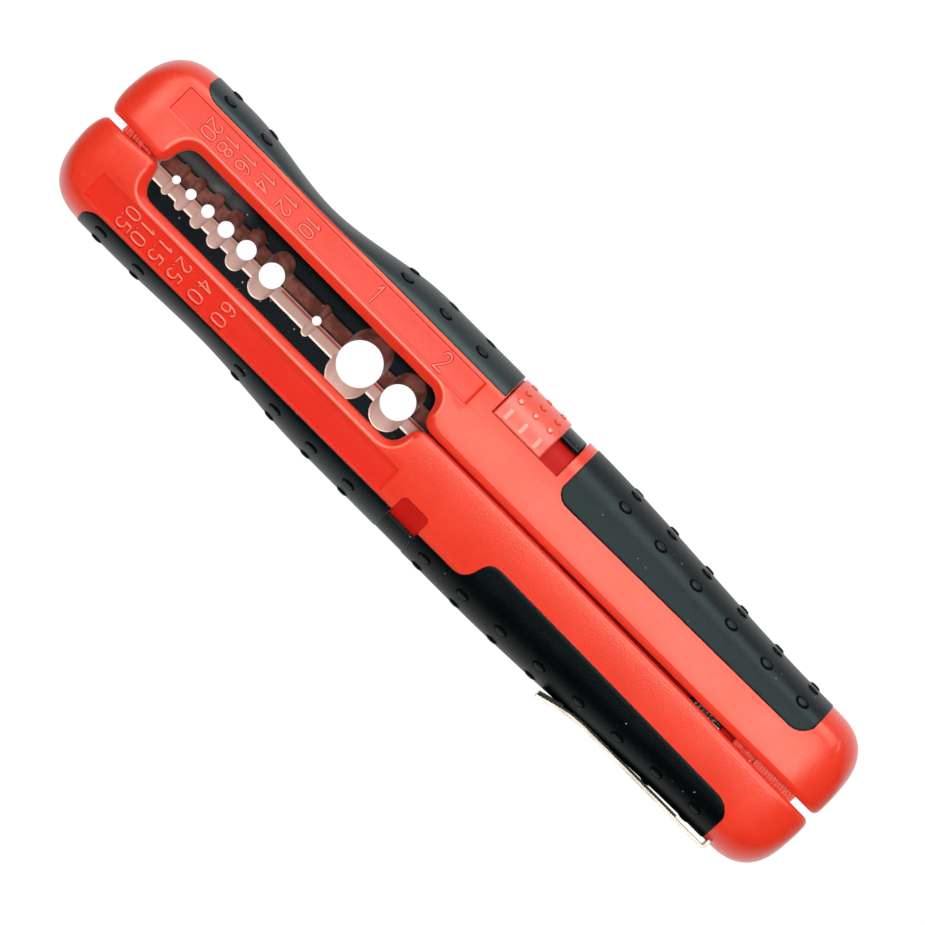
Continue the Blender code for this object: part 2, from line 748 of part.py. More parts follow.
def slide_marks():
    """Raised bars in rows on the slide's faces and round its side."""
    bm = bmesh.new()
    centre = FRONT + SLIDE_FRONT + SLIDE_LENGTH / 2
    face = MID - SLIDE_SUNK
    for step in range(SLIDE_MARKS):
        x = centre + (step - (SLIDE_MARKS - 1) / 2) * MARK_PITCH
        for z in (MID + face, MID - face):
            size = Matrix.Diagonal((MARK_WIDTH, MARK_SPAN, 2 * MARK_HEIGHT, 1))
            place = Matrix.Translation((x, SLIDE_EDGE + MARK_INSET + MARK_SPAN / 2, z))
            bmesh.ops.create_cube(bm, size=1, matrix=place @ size)
        for row in DOT_ROWS:
            for z in (MID + row, MID - row):
                size = Matrix.Diagonal((MARK_WIDTH, MARK_WIDTH, 2 * MARK_HEIGHT, 1))
                sunk = Matrix.Translation((0, 0, -SLIDE_SUNK))
                bmesh.ops.create_cube(bm, size=1, matrix=surface_frame(LOCK_HALF, x, z) @ sunk @ size)
    return add_object("slide_marks", mesh_from(bm, "slide_marks"), CUTTERS)


def lock_parts(housing):
    """The slide with its detent and hook, and the room for them in the lock half."""
    front = FRONT + SLIDE_FRONT
    rear = front + SLIDE_LENGTH
    end = rear + SLIDE_TRAVEL
    depth = SLIDE_SUNK + SLIDE_WALL
    slide = skin_piece(LOCK_HALF, "_slide", slide_outline(front, rear, SLIDE_EDGE),
                       SLIDE_SUNK, SLIDE_WALL, PARTS)
    slide.name = "lock_slide"
    join(slide, slide_marks())
    slide.data.materials.append(RED_SLIDE)

    detent_inset = depth + SEAT_GAP
    detent = skin_piece(LOCK_HALF, "_detent",
                        slide_outline(front + SEAT_GAP, end - SEAT_GAP, DETENT_EDGE),
                        detent_inset, DETENT_WALL, PARTS)
    detent.name = "lock_detent_spring"
    detent.data.materials.append(BLACK_STEEL)

    arm = (front + HOOK_FRONT, front + HOOK_FRONT + HOOK_ARM)
    arm_slot = (arm[0] - 2 * RUN_GAP, arm[1] + SLIDE_TRAVEL + RUN_GAP)
    slot_half = HOOK_HALF + RUN_GAP
    arm_top = LOCK_HALF.width - depth - SEAT_GAP
    slot = block("hook_slot", arm_slot, (-PAST, LOCK_HALF.width), (MID - slot_half, MID + slot_half))
    cut(detent, slot)
    cut(housing,
        skin_cutter(LOCK_HALF, "_slide_slot",
                    slide_outline(front - SEAT_GAP, end + SEAT_GAP, SLIDE_EDGE - SEAT_GAP),
                    depth + SEAT_GAP),
        skin_cutter(LOCK_HALF, "_detent_seat",
                    slide_outline(front, end, DETENT_EDGE - SEAT_GAP),
                    detent_inset + DETENT_WALL + SEAT_GAP),
        slot)

    nose = arm[1] + HOOK_NOSE
    corners = [(arm[0], -HOOK_REACH), (nose, -HOOK_REACH), (nose, HOOK_NOSE_HEIGHT - HOOK_REACH),
               (arm[1], HOOK_NOSE_HEIGHT - HOOK_REACH), (arm[1], arm_top), (arm[0], arm_top)]
    hook = plate("lock_hook", [Vector(corner) for corner in corners],
                 (MID - HOOK_HALF, MID + HOOK_HALF), PARTS)
    hook.data.materials.append(STEEL)


def catch_centre():
    """The catch pin: clear of the hook's arm when it is pushed right back."""
    arm_end = FRONT + SLIDE_FRONT + HOOK_FRONT + HOOK_ARM + SLIDE_TRAVEL
    nose_top = HOOK_NOSE_HEIGHT - HOOK_REACH
    return arm_end + RUN_GAP + CATCH_RADIUS, nose_top + RUN_GAP + CATCH_RADIUS


def catch_parts(housing):
    """The hook's pocket in the clip half, and the pin that the hook reaches under."""
    front = FRONT + SLIDE_FRONT + HOOK_FRONT
    nose = front + HOOK_ARM + HOOK_NOSE + SLIDE_TRAVEL
    half_height = HOOK_HALF + RUN_GAP
    centre = [catch_centre()]
    cut(housing,
        block("hook_pocket", (front - 2 * RUN_GAP, nose + RUN_GAP),
              (-HOOK_REACH - RUN_GAP, PAST), (MID - half_height, MID + half_height)),
        pin("catch_hole", centre, CATCH_RADIUS + SEAT_GAP,
            (MID - CATCH_HALF - SEAT_GAP, MID + CATCH_HALF + SEAT_GAP)))
    item = pin("catch_pin", centre, CATCH_RADIUS, (MID - CATCH_HALF, MID + CATCH_HALF), PARTS)
    item.data.materials.append(STEEL)


def clip_line():
    """The clip's middle line, from the tip to the end of its tab in the housing."""
    root = REAR - CLIP_ROOT
    side = side_at(CLIP_HALF_BODY, root) + CLIP_STAND
    tab_end = side_at(CLIP_HALF_BODY, root) - CLIP_TAB
    bend = root - CLIP_STRAIGHT
    arc = []
    for step in range(ARC_STEPS + 1):
        angle = math.pi / 2 * step / ARC_STEPS
        arc.append((root - CLIP_BEND + CLIP_BEND * math.sin(angle),
                    side - CLIP_BEND + CLIP_BEND * math.cos(angle)))
    return [(bend - CLIP_FLARE_RUN, side + CLIP_FLARE_RISE), (bend, side)] + arc + [(root, tab_end)]


def belt_clip(housing):
    """A folded strip of spring steel, pressed into a slot in the clip half."""
    side = CLIP_HALF_BODY.side
    bm = bmesh.new()
    low = [bm.verts.new((x, side * y, MID - CLIP_HALF)) for x, y in clip_line()]
    edges = [bm.edges.new(pair) for pair in zip(low, low[1:])]
    wall = bmesh.ops.extrude_edge_only(bm, edges=edges)["geom"]
    raised = [vert for vert in wall if isinstance(vert, bmesh.types.BMVert)]
    bmesh.ops.translate(bm, verts=raised, vec=(0, 0, 2 * CLIP_HALF))
    item = add_object("belt_clip", mesh_from(bm, "belt_clip"), PARTS)
    sheet = item.modifiers.new("sheet", "SOLIDIFY")
    sheet.thickness = CLIP_SHEET
    sheet.offset = 0
    item.data.materials.append(STEEL)
    root = REAR - CLIP_ROOT
    across = CLIP_SHEET / 2 + SEAT_GAP
    deep = side_at(CLIP_HALF_BODY, root) - CLIP_TAB - SEAT_GAP
    high = CLIP_HALF + SEAT_GAP
    cut(housing, block("clip_slot", (root - across, root + across),
                       (-CLIP_HALF_BODY.width - PAST, -deep), (MID - high, MID + high)))


def recess(housing, soft):
    """A small sunk field beside the grip of the clip half, and a lower step in the grip."""
    front = FRONT + RECESS_FRONT
    rear = front + RECESS_LENGTH
    inner = -GRIP_EDGE_FRONT - SEAT_GAP
    for name, z_range in (("front", (THICKNESS - RECESS_DEPTH, THICKNESS + PAST)),
                          ("back", (-PAST, RECESS_DEPTH))):
        cut(housing, block(name + "_recess", (front, rear), (inner, -RECESS_EDGE), z_range))
    near, far = PAST - GRIP_EDGE_FRONT, -CLIP_HALF_BODY.width - PAST
    front, rear = front - SEAT_GAP / 2, rear + SEAT_GAP / 2
    step = [Vector(point) for point in ((front, near), (rear, near), (rear, far), (front, far))]
    cut(soft, skin_cutter(CLIP_HALF_BODY, "_grip_step", step, GRIP_NOTCH_DEPTH))


def lock_half():
    housing = form(LOCK_HALF, "_housing", group=PARTS)
    housing.name = "housing_lock_half"
    housing.data.materials.append(RED)
    cut_window(LOCK_HALF, housing)
    front, rear, _ = grip_outlines()
    front_studs, rear_studs, _ = stud_ranges()
    cut(housing, grip(LOCK_HALF, "_front_grip", front, front_studs)[1],
        grip(LOCK_HALF, "_rear_grip", rear, rear_studs)[1])
    lock_parts(housing)
    cut_spring_pocket(LOCK_HALF, housing)
    cut_hinge(LOCK_HALF, housing)
    join(housing, guide_block("guide_tongue", 0))
    blades(LOCK_HALF)


def clip_half():
    housing = form(CLIP_HALF_BODY, "_housing", group=PARTS)
    housing.name = "housing_clip_half"
    housing.data.materials.append(RED)
    cut_window(CLIP_HALF_BODY, housing)
    soft, seat = grip(CLIP_HALF_BODY, "_grip", grip_outlines()[2], stud_ranges()[2])
    cut(housing, seat)
    recess(housing, soft)
    catch_parts(housing)
    cut_spring_pocket(CLIP_HALF_BODY, housing)
    cut_hinge(CLIP_HALF_BODY, housing)
    cut(housing, guide_block("guide_groove", RUN_GAP))
    belt_clip(housing)
    blades(CLIP_HALF_BODY)


clear_scene()
PARTS = new_collection("wire_stripping_pliers")
CUTTERS = new_collection("cutters")
RED = material("red moulded plastic", (0.80, 0.055, 0.030), 0.45)
RED_SLIDE = material("red slide plastic", (0.82, 0.085, 0.055), 0.42)
RUBBER = material("black soft grip", (0.030, 0.036, 0.038), 0.62)
BLACK_PLASTIC = material("black carrier plastic", (0.012, 0.013, 0.013), 0.30)
BLACK_STEEL = material("blackened spring steel", (0.02, 0.02, 0.02), 0.35, 0.6)
STEEL = material("ground steel", (0.55, 0.53, 0.50), 0.28, 1.0)
lock_half()
clip_half()
hinge_pin()
opening_spring()
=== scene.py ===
# %% [markdown]
# # Wire stripping pliers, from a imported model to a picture
#
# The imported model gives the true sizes, the moving bodies and the joints. This lesson puts a
# finer skin on it: smooth moulded halves, ribbed and studded soft grips, round ground notches.
# Each new piece rides on the body that the plain piece rode on, so the tool still opens.

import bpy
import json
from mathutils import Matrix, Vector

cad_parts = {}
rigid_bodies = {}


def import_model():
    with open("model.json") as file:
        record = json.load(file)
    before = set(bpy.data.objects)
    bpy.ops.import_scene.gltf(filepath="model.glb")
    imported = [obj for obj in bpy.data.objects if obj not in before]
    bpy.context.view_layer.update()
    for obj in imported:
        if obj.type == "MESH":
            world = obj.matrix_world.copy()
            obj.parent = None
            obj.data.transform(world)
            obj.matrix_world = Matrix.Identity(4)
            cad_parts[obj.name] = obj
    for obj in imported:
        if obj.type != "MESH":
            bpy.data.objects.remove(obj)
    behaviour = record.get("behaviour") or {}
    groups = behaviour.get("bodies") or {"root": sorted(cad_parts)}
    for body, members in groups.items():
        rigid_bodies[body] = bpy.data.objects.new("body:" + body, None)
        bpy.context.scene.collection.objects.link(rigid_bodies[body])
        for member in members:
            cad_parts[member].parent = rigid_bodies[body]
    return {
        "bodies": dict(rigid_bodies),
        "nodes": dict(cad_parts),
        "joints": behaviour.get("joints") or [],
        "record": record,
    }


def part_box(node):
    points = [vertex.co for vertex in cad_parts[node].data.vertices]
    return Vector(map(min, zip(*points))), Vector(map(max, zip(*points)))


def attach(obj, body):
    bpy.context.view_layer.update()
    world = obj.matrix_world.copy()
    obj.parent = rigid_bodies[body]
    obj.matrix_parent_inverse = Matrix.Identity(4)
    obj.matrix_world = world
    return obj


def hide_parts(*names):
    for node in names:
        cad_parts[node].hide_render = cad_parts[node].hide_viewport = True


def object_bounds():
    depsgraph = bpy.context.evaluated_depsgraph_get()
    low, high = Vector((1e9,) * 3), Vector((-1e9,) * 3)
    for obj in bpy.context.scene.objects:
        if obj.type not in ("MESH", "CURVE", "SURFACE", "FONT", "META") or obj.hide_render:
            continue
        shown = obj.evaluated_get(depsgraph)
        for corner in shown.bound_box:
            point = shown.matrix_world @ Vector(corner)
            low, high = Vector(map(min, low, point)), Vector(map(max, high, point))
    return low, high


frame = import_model()
CAD_BOX = [list(corner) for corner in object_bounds()]
print("packed model, lowest and highest corner in metres:", CAD_BOX)

# %% Modules, and the scene's shared sizes
import json
import math

import bmesh
import bpy
from mathutils import Matrix, Vector

# Sizes are in metres. X runs from the jaw end to the hinge end, Y to the half with the slide.
FRONT, REAR = CAD_BOX[0][0], CAD_BOX[1][0]
MID = 0.019 / 2
# Places along the tool are also given in millimetres from a mark 2.95 mm behind the jaw end
MARK = FRONT + 0.00295
QUARTER = math.pi / 2
# Vertices closer than this are one, and edges over these angles in degrees stay sharp
SAME, SHARP, SOFT_SHARP = 1e-7, 35, 50


def at(along, across=0.0, up=0.0):
    """A point given in millimetres along the tool, across it and above the table."""
    return Vector((MARK + along * 0.001, across * 0.001, up * 0.001))


# %% [markdown]
# ## Helpers for curves and meshes
#
# A moulded half is long, with a cross section that changes slowly. It could be carved from a
# block or sculpted, but a ring of vertices pushed along the tool with the extrude operator
# keeps the edges of the mesh along the edges of the moulding, and light then flows cleanly.

# %% Curves
def clamp(value, high=1.0):
    return min(max(value, 0.0), high)


def inner(first, last, count):
    """The places that divide a run into a number of equal steps, without its two ends."""
    return [first + (last - first) * step / count for step in range(1, count)]


def fall(share, power):
    """The height of a superellipse: 1 at share 0, 0 at share 1."""
    return (1 - clamp(share) ** power) ** (1 / power)


def eased(x, keys, smooth=True):
    """A value that runs through keys (x, value), smoothly or in straight lines."""
    if x <= keys[0][0]:
        return keys[0][1]
    for (x0, low), (x1, high) in zip(keys, keys[1:]):
        if x <= x1:
            share = (x - x0) / (x1 - x0)
            return low + (high - low) * (share * share * (3 - 2 * share) if smooth else share)
    return keys[-1][1]


def through(points, steps):
    """A smooth curve through points, with a number of steps between each two."""
    points = [Vector(point) for point in points]
    ends = [2 * points[0] - points[1]] + points + [2 * points[-1] - points[-2]]
    curve = []
    for a, b, c, d in zip(ends, ends[1:], ends[2:], ends[3:]):
        for step in range(steps):
            t = step / steps
            curve.append(0.5 * (2 * b + (c - a) * t + (2 * a - 5 * b + 4 * c - d) * t * t
                                + (3 * b - a - 3 * c + d) * t ** 3))
    return curve + [points[-1]]


def bend(table, steps):
    """A smooth run through rows in millimetres: along, across, along, and across if given."""
    rows = [[value * 0.001 if index % 2 else at(value).x for index, value in enumerate(row)]
            for row in table]
    return [tuple(row) for row in through(rows, steps)]


# %% Meshes
def add_object(name, data):
    made = bpy.data.objects.new(name, data)
    bpy.context.scene.collection.objects.link(made)
    return made


def shade(mesh, sharp):
    mesh.shade_smooth()
    mesh.set_sharp_from_angle(angle=math.radians(sharp))


def to_object(bm, name, coat=None, sharp=SHARP):
    """A finished mesh as an object, with its faces outwards and its sharp edges marked."""
    bmesh.ops.remove_doubles(bm, verts=bm.verts, dist=SAME)
    bmesh.ops.recalc_face_normals(bm, faces=bm.faces)
    mesh = bpy.data.meshes.new(name)
    bm.to_mesh(mesh)
    bm.free()
    shade(mesh, sharp)
    if coat:
        mesh.materials.append(coat)
    return add_object(name, mesh)


def push_ring(bm, sections, closed):
    """A first row of vertices, extruded from section to section. Gives all the rows back."""
    row = [bm.verts.new(point) for point in sections[0]]
    rows = [row]
    pairs = list(zip(row, row[1:])) + ([(row[-1], row[0])] if closed else [])
    edges = [bm.edges.new(pair) for pair in pairs]
    for section in sections[1:]:
        made = bmesh.ops.extrude_edge_only(bm, edges=edges)["geom"]
        fresh = {item for item in made if isinstance(item, bmesh.types.BMVert)}
        edges = [item for item in made if isinstance(item, bmesh.types.BMEdge)]
        edges = [edge for edge in edges if edge.verts[0] in fresh and edge.verts[1] in fresh]
        following = []
        for vert, point in zip(row, section):
            other = next(edge.other_vert(vert) for edge in vert.link_edges
                         if edge.other_vert(vert) in fresh)
            other.co = point
            following.append(other)
        row = following
        rows.append(row)
    return rows


def tube(name, sections, coat=None, sharp=SHARP):
    """A closed body through closed sections, with a flat cap at each end."""
    bm = bmesh.new()
    rows = push_ring(bm, sections, True)
    bm.faces.new(rows[0])
    bm.faces.new(rows[-1])
    return to_object(bm, name, coat, sharp)


def block(bm, low, high):
    """A cube stretched between two corners. Gives its vertices back."""
    low, high = Vector(low), Vector(high)
    place = Matrix.Translation((low + high) / 2) @ Matrix.Diagonal((*(high - low), 1))
    return bmesh.ops.create_cube(bm, size=1.0, matrix=place)["verts"]


def post(bm, x, y, radius, low, high):
    """A round column between two heights."""
    bmesh.ops.create_cone(bm, cap_ends=True, segments=48, radius1=radius, radius2=radius,
                          depth=high - low, matrix=Matrix.Translation((x, y, (low + high) / 2)))


def soften(bm, edges, offset):
    bmesh.ops.bevel(bm, geom=edges, offset=offset, offset_type="OFFSET", affect="EDGES",
                    segments=2, profile=0.5, material=-1)


def take_away(piece, *cutters):
    """Cut the cutters out of a piece for good, and delete them."""
    for cutter in cutters:
        change = piece.modifiers.new(cutter.name, "BOOLEAN")
        change.operation, change.solver, change.object = "DIFFERENCE", "EXACT", cutter
        change.material_mode = "TRANSFER"
    graph = bpy.context.evaluated_depsgraph_get()
    cut = bpy.data.meshes.new_from_object(piece.evaluated_get(graph))
    piece.modifiers.clear()
    piece.data = cut
    shade(cut, SOFT_SHARP)
    for cutter in cutters:
        bpy.data.objects.remove(cutter)


print("helpers are ready")

# %% [markdown]
# ## The outer form of the two halves
#
# The halves are nearly mirror images, 13.5 and 12.8 mm wide. Their sides dip at the waist, where
# the fingers go, and both ends are domed. The faces are a little crowned, which is what
# makes one half catch the light and the other stay deep red.

# %% Outer form
FACE_CROWN, CROWN_WIDTH = 0.00100, 0.0100
END_DOME, DOME_POWER, PLAN_POWER, SIDE_POWER = 0.0075, 2.6, 2.5, 2.3
NOSE_ROUND, TAIL_ROUND, END_WIDTH, END_HEIGHT = 0.0075, 0.0068, 0.0042, 0.0050
WAIST = FRONT + 0.0285
# The faces fall away over this much at the jaw end, and over so much more at the hinge end
SIDE_RUN, SIDE_RUN_MORE = 0.0036, 0.0020


class Half:
    """One half of the tool: its side of the slit, its body and its widths along the tool."""

    def __init__(self, body, side, width, nose_drop, waist_drop, tail_drop):
        self.body, self.side, self.width = body, side, width
        self.keys = ((FRONT + 0.0130, width - nose_drop), (WAIST, width - waist_drop),
                     (FRONT + 0.0470, width), (FRONT + 0.0732, width),
                     (REAR - 0.0095, width - tail_drop))


LOCK = Half("lock_half", 1, 0.0135, 0.0007, 0.0023, 0.0017)
CLIP = Half("clip_half", -1, 0.0128, 0.0006, 0.0010, 0.0015)


def end_share(x, front_run, rear_run):
    """How far a place is into the rounding of the nearer end, from 0 to 1."""
    return max((FRONT + front_run - x) / front_run, (x - REAR + rear_run) / rear_run, 0)


def side_at(half, x):
    full = eased(x, half.keys)
    return END_WIDTH + (full - END_WIDTH) * fall(end_share(x, NOSE_ROUND, TAIL_ROUND), PLAN_POWER)


def height_at(x):
    share = end_share(x, END_DOME, END_DOME)
    return END_HEIGHT + (MID - END_HEIGHT) * fall(share, DOME_POWER)


SLIT_KEYS = ((FRONT + 0.0035, 0.0005), (FRONT + 0.0101, 0.00014), (at(53.6).x, 0.00014),
             (at(100).x, 0.00024), (at(108).x, 0.00036), (at(114).x, 0.00046), (REAR, 0.0005))
# How long and how deep the slit's corners are rounded at the jaw end and at the hinge end
NOSE_CORNER, TAIL_CORNER = (0.0012, 0.0031), (0.0009, 0.0010)


def slit_wall(x):
    """The slit's half width, with the rounded corner at each end of the tool."""
    wall = eased(x, SLIT_KEYS)
    for place, (run, reach) in ((x - FRONT, NOSE_CORNER), (REAR - x, TAIL_CORNER)):
        wall += reach * (1 - fall(1 - place / run, 2))
    return wall


def run_at(half, x):
    """How far in from the side the faces begin to fall away."""
    run = SIDE_RUN + SIDE_RUN_MORE * (x - FRONT) / (REAR - FRONT)
    return min(run - 0.9 * (half.width - eased(x, half.keys)), 0.8 * (side_at(half, x) - slit_wall(x)))


def skin_height(half, x, y):
    """Half of the tool's thickness anywhere on the outer form, from the slit to the side."""
    run = run_at(half, x)
    start = side_at(half, x) - run
    face = height_at(x) - FACE_CROWN * (y / CROWN_WIDTH) ** 2
    return face * (fall((y - start) / run, SIDE_POWER) if y > start else 1.0)


def side_rows(half, x, first, steps=18):
    """Distances from the slit, from a first one to the side, closer together where it is steep."""
    side, run = side_at(half, x), run_at(half, x)
    low = math.asin(clamp((first - side + run) / run, 0.98) ** (SIDE_POWER / 2))
    angles = inner(low, QUARTER, steps)
    return [side - run + run * math.sin(angle) ** (2 / SIDE_POWER) for angle in angles] + [side]


print("widths at the waist:", [round(side_at(half, WAIST), 5) for half in (LOCK, CLIP)])

# %% [markdown]
# ## The rim of the window and the edges of the slit
#
# Seen from the front, one line bounds each half on the inside: the wall of the slit, which
# opens in an S-bend into the wall of the window and closes again behind it. A second line,
# about a millimetre away, is the crest where the sloping rim meets the face. The mesh of a half
# has a column for each pair of points on these two lines.

# %% Wall line and crest line
# Each row: wall along and across, crest along and across, in millimetres
S_BEND_FRONT = [(5.0, 0.20, 5.0, 1.18), (5.9, 0.21, 5.5, 1.2), (6.5, 0.45, 5.85, 1.35),
                (6.9, 1.1, 6.05, 1.95), (7.15, 2.0, 6.2, 2.75), (7.45, 2.95, 6.5, 3.75),
                (8.0, 3.75, 7.05, 4.6), (8.8, 4.2, 8.0, 5.2), (9.8, 4.3, 9.1, 5.42),
                (11.0, 4.3, 11.0, 5.45)]
S_BEND_REAR = [(49.4, 4.3, 49.4, 5.42), (50.4, 4.28, 50.6, 5.36), (51.3, 3.9, 51.7, 4.95),
               (51.9, 3.2, 52.45, 4.2), (52.2, 2.35, 52.85, 3.2), (52.45, 1.5, 53.2, 2.2),
               (52.9, 0.75, 53.7, 1.5), (53.6, 0.3, 54.5, 1.2), (54.9, 0.15, 55.6, 1.14),
               (56.6, 0.14, 56.6, 1.14)]
BEND_STEPS = 4
WINDOW_WALL, WINDOW_CREST = 0.0043, 0.00545
SLIT_DROP, RIM_DROP = 0.0010, 0.00115
RIM_SHARES = (0, 0.04, 0.1, 0.2, 0.35, 0.5, 0.65, 0.78, 0.86, 0.93, 1)
# How much of the rim's slope is rounded at the crest and at the foot
RIM_SOFT, RIM_FOOT = 0.24, 0.15
# The label panel is a shallow tray in each face, with soft edges
PANEL_ALONG = (at(2.7).x, at(54.7).x)
PANEL_ACROSS = (0.0058, 0.0094)
PANEL_DEPTH = 0.00034
PANEL_EDGE = ((-0.00012, 0.0), (-0.00006, 0.1), (0.00002, 0.9), (0.00008, 1.0))
FACE_ROWS = ([PANEL_ACROSS[0] + step for step, _ in PANEL_EDGE]
             + [0.0064, 0.0070, 0.0076, 0.0082, 0.0088]
             + [PANEL_ACROSS[1] + step for step, _ in PANEL_EDGE])


def plain_column(x):
    wall = slit_wall(x)
    return x, wall, x, wall + min(SLIT_DROP, 0.35 * (side_at(CLIP, x) - wall)), SLIT_DROP


def columns():
    """(wall x, wall y, crest x, crest y, rim drop) for each column of a half."""
    front, rear = bend(S_BEND_FRONT, BEND_STEPS), bend(S_BEND_REAR, BEND_STEPS)
    corner_run = NOSE_CORNER[0]
    nose = [FRONT + corner_run * (1 - math.cos(QUARTER * step / 12)) for step in range(13)]
    nose += inner(FRONT + corner_run, front[0][0], 20)
    nose += [PANEL_ALONG[0] + step for step, _ in PANEL_EDGE]
    tail = inner(rear[-1][0], REAR - TAIL_ROUND, 100)
    tail += [REAR - TAIL_ROUND * (1 - math.sin(QUARTER * step / 26)) for step in range(27)]
    rows = [plain_column(x) for x in sorted(nose)]
    more, last = RIM_DROP - SLIT_DROP, len(front) - 1
    rows += [(*row, SLIT_DROP + more * clamp(2 * index / last)) for index, row in enumerate(front)]
    rows += [(x, WINDOW_WALL, x, WINDOW_CREST, RIM_DROP) for x in inner(front[-1][0], rear[0][0], 60)]
    last = len(rear) - 1
    rows += [(*row, RIM_DROP - more * clamp(2 * index / last - 1)) for index, row in enumerate(rear)]
    return rows + [plain_column(x) for x in tail]


def rim_sink(share, slope):
    """How far the rim lies under the crest: a quarter round at the slit, a slope at the window."""
    round_over = 1 - math.sqrt(max(0.0, 1 - (1 - share) ** 2))
    ridge = 1 - share - RIM_SOFT / 2
    if share > 1 - RIM_SOFT:
        ridge = (1 - share) ** 2 / (2 * RIM_SOFT)
    ridge += RIM_SOFT / 2 * max(0.0, 1 - share / RIM_FOOT) ** 2
    return round_over * (1 - slope) + ridge * slope


def in_panel(value, low, high):
    """How far a value is inside a range whose soft edges follow PANEL_EDGE, from 0 to 1."""
    return eased(min(value - low, high - value), PANEL_EDGE, False)


def half_section(half, wall_x, wall, crest_x, crest, drop):
    """One closed section of a half: rim, face with its panel, side, and the same on the back."""
    slope = (drop - SLIT_DROP) / (RIM_DROP - SLIT_DROP)
    sink = drop * min(1.0, (crest - wall) / SLIT_DROP)
    front = []
    for share in RIM_SHARES:
        x, y = wall_x + (crest_x - wall_x) * share, wall + (crest - wall) * share
        front.append((x, y, skin_height(half, x, y) - sink * rim_sink(share, slope)))
    limit = crest + 0.8 * (side_at(half, crest_x) - crest)
    rows = inner(crest, FACE_ROWS[0], 4) + FACE_ROWS
    if limit < FACE_ROWS[-1] or crest > FACE_ROWS[0]:
        rows = inner(crest, limit, len(rows)) + [limit]
    for y in rows:
        tray = in_panel(crest_x, *PANEL_ALONG) * in_panel(y, *PANEL_ACROSS) * PANEL_DEPTH
        front.append((crest_x, y, skin_height(half, crest_x, y) - tray))
    front += [(crest_x, y, skin_height(half, crest_x, y)) for y in side_rows(half, crest_x, rows[-1])]
    back = [(x, y, -z) for x, y, z in reversed(front[:-1])]
    return [(x, half.side * y, MID + z) for x, y, z in front + back]


print(len(columns()), "columns, wall and crest lines ready")

# %% [markdown]
# ## Effects that several finishes share
#
# Moulded plastic is never one flat colour: the tool steel that shaped it left a fine grain, the
# colour clouds a little, and dust gathers in use. One group paints a highlight line along the
# window's rim. Each effect is a node group that gives a mask or a height, so every finish can
# use it with its own values.

# %% Short ways to build nodes
class Nodes:
    """A node tree, with short ways to add nodes and to join them."""

    def __init__(self, tree):
        self.tree = tree

    def feed(self, socket, value):
        """Give an input a number, a colour, or the output of another node."""
        if isinstance(value, bpy.types.NodeSocket):
            self.tree.links.new(value, socket)
        else:
            socket.default_value = (*value, 1.0) if isinstance(value, tuple) else value

    def add(self, kind, inputs=None, **settings):
        """A new node with its settings, and its inputs by name or number. Gives its outputs."""
        node = self.tree.nodes.new(kind)
        for name, value in settings.items():
            setattr(node, name, value)
        for label, value in (inputs or {}).items():
            self.feed(node.inputs[label], value)
        return node.outputs

    def math(self, operation, first, second=0.5):
        return self.add("ShaderNodeMath", {0: first, 1: second}, operation=operation)[0]

    def noise(self, place, scale, detail=3.0, roughness=0.5):
        return self.add("ShaderNodeTexNoise", {"Vector": place, "Scale": scale, "Detail": detail,
                                               "Roughness": roughness})["Fac"]

    def band(self, value, low, high, first=0.0, second=1.0):
        """A value from first to second while the input goes from low to high."""
        limits = {"Value": value, "From Min": low, "From Max": high, "To Min": first, "To Max": second}
        return self.add("ShaderNodeMapRange", limits, interpolation_type="SMOOTHSTEP")[0]

    def mix(self, share, first, second):
        """A mix of two colours, each one a tuple or a socket."""
        return self.add("ShaderNodeMix", {0: share, 6: first, 7: second}, data_type="RGBA")[2]

    def place(self):
        return self.add("ShaderNodeTexCoord")["Object"]

    def along_and_across(self):
        """The X and the Y of a place on the object."""
        split = self.add("ShaderNodeSeparateXYZ", {0: self.place()})
        return split["X"], split["Y"]


def effect(name, inputs, outputs):
    """A node group with named numbers in and out: the group, its nodes, its inputs and outputs."""
    group = bpy.data.node_groups.new(name, "ShaderNodeTree")
    kind = "NodeSocketFloat"
    for label, value in inputs:
        group.interface.new_socket(label, in_out="INPUT", socket_type=kind).default_value = value
    for label in outputs:
        group.interface.new_socket(label, in_out="OUTPUT", socket_type=kind)
    nodes = Nodes(group)
    return group, nodes, nodes.add("NodeGroupInput"), group.nodes.new("NodeGroupOutput").inputs


# %% Shader node groups
GRAIN, nodes, given, result = effect(
    "moulded grain", (("Grain Scale", 6000.0), ("Cloud Scale", 120.0)), ("Height", "Cloud"))
place = nodes.place()
nodes.feed(result["Height"], nodes.noise(place, given["Grain Scale"], 2.0))
nodes.feed(result["Cloud"], nodes.noise(place, given["Cloud Scale"], 4.0, 0.6))

DUST, nodes, given, result = effect(
    "settled dust", (("Speck Scale", 900.0), ("Amount", 0.1)), ("Specks", "Film"))
place = nodes.place()
cells = nodes.add("ShaderNodeTexVoronoi", {"Vector": place, "Scale": given["Speck Scale"]})
near = nodes.band(cells["Distance"], 0.05, 0.16, 1.0, 0.0)
rare = nodes.math("LESS_THAN", cells["Color"], given["Amount"])
gathered = nodes.band(nodes.noise(place, 260.0, 3.0, 0.7), 0.5, 0.62)
nodes.feed(result["Specks"], nodes.math("MULTIPLY", nodes.math("MULTIPLY", near, rare), gathered))
nodes.feed(result["Film"], nodes.band(nodes.noise(place, 90.0, 5.0, 0.7), 0.45, 0.8))

SCRATCH, nodes, given, result = effect(
    "fine scratches", (("Along X", 60.0), ("Along Y", 4000.0), ("Along Z", 4000.0)), ("Lines",))
stretch = nodes.add("ShaderNodeCombineXYZ", {axis: given["Along " + axis] for axis in "XYZ"})[0]
scaled = nodes.add("ShaderNodeVectorMath", {0: nodes.place(), 1: stretch}, operation="MULTIPLY")[0]
nodes.feed(result["Lines"], nodes.noise(scaled, 1.0, 3.0, 0.6))
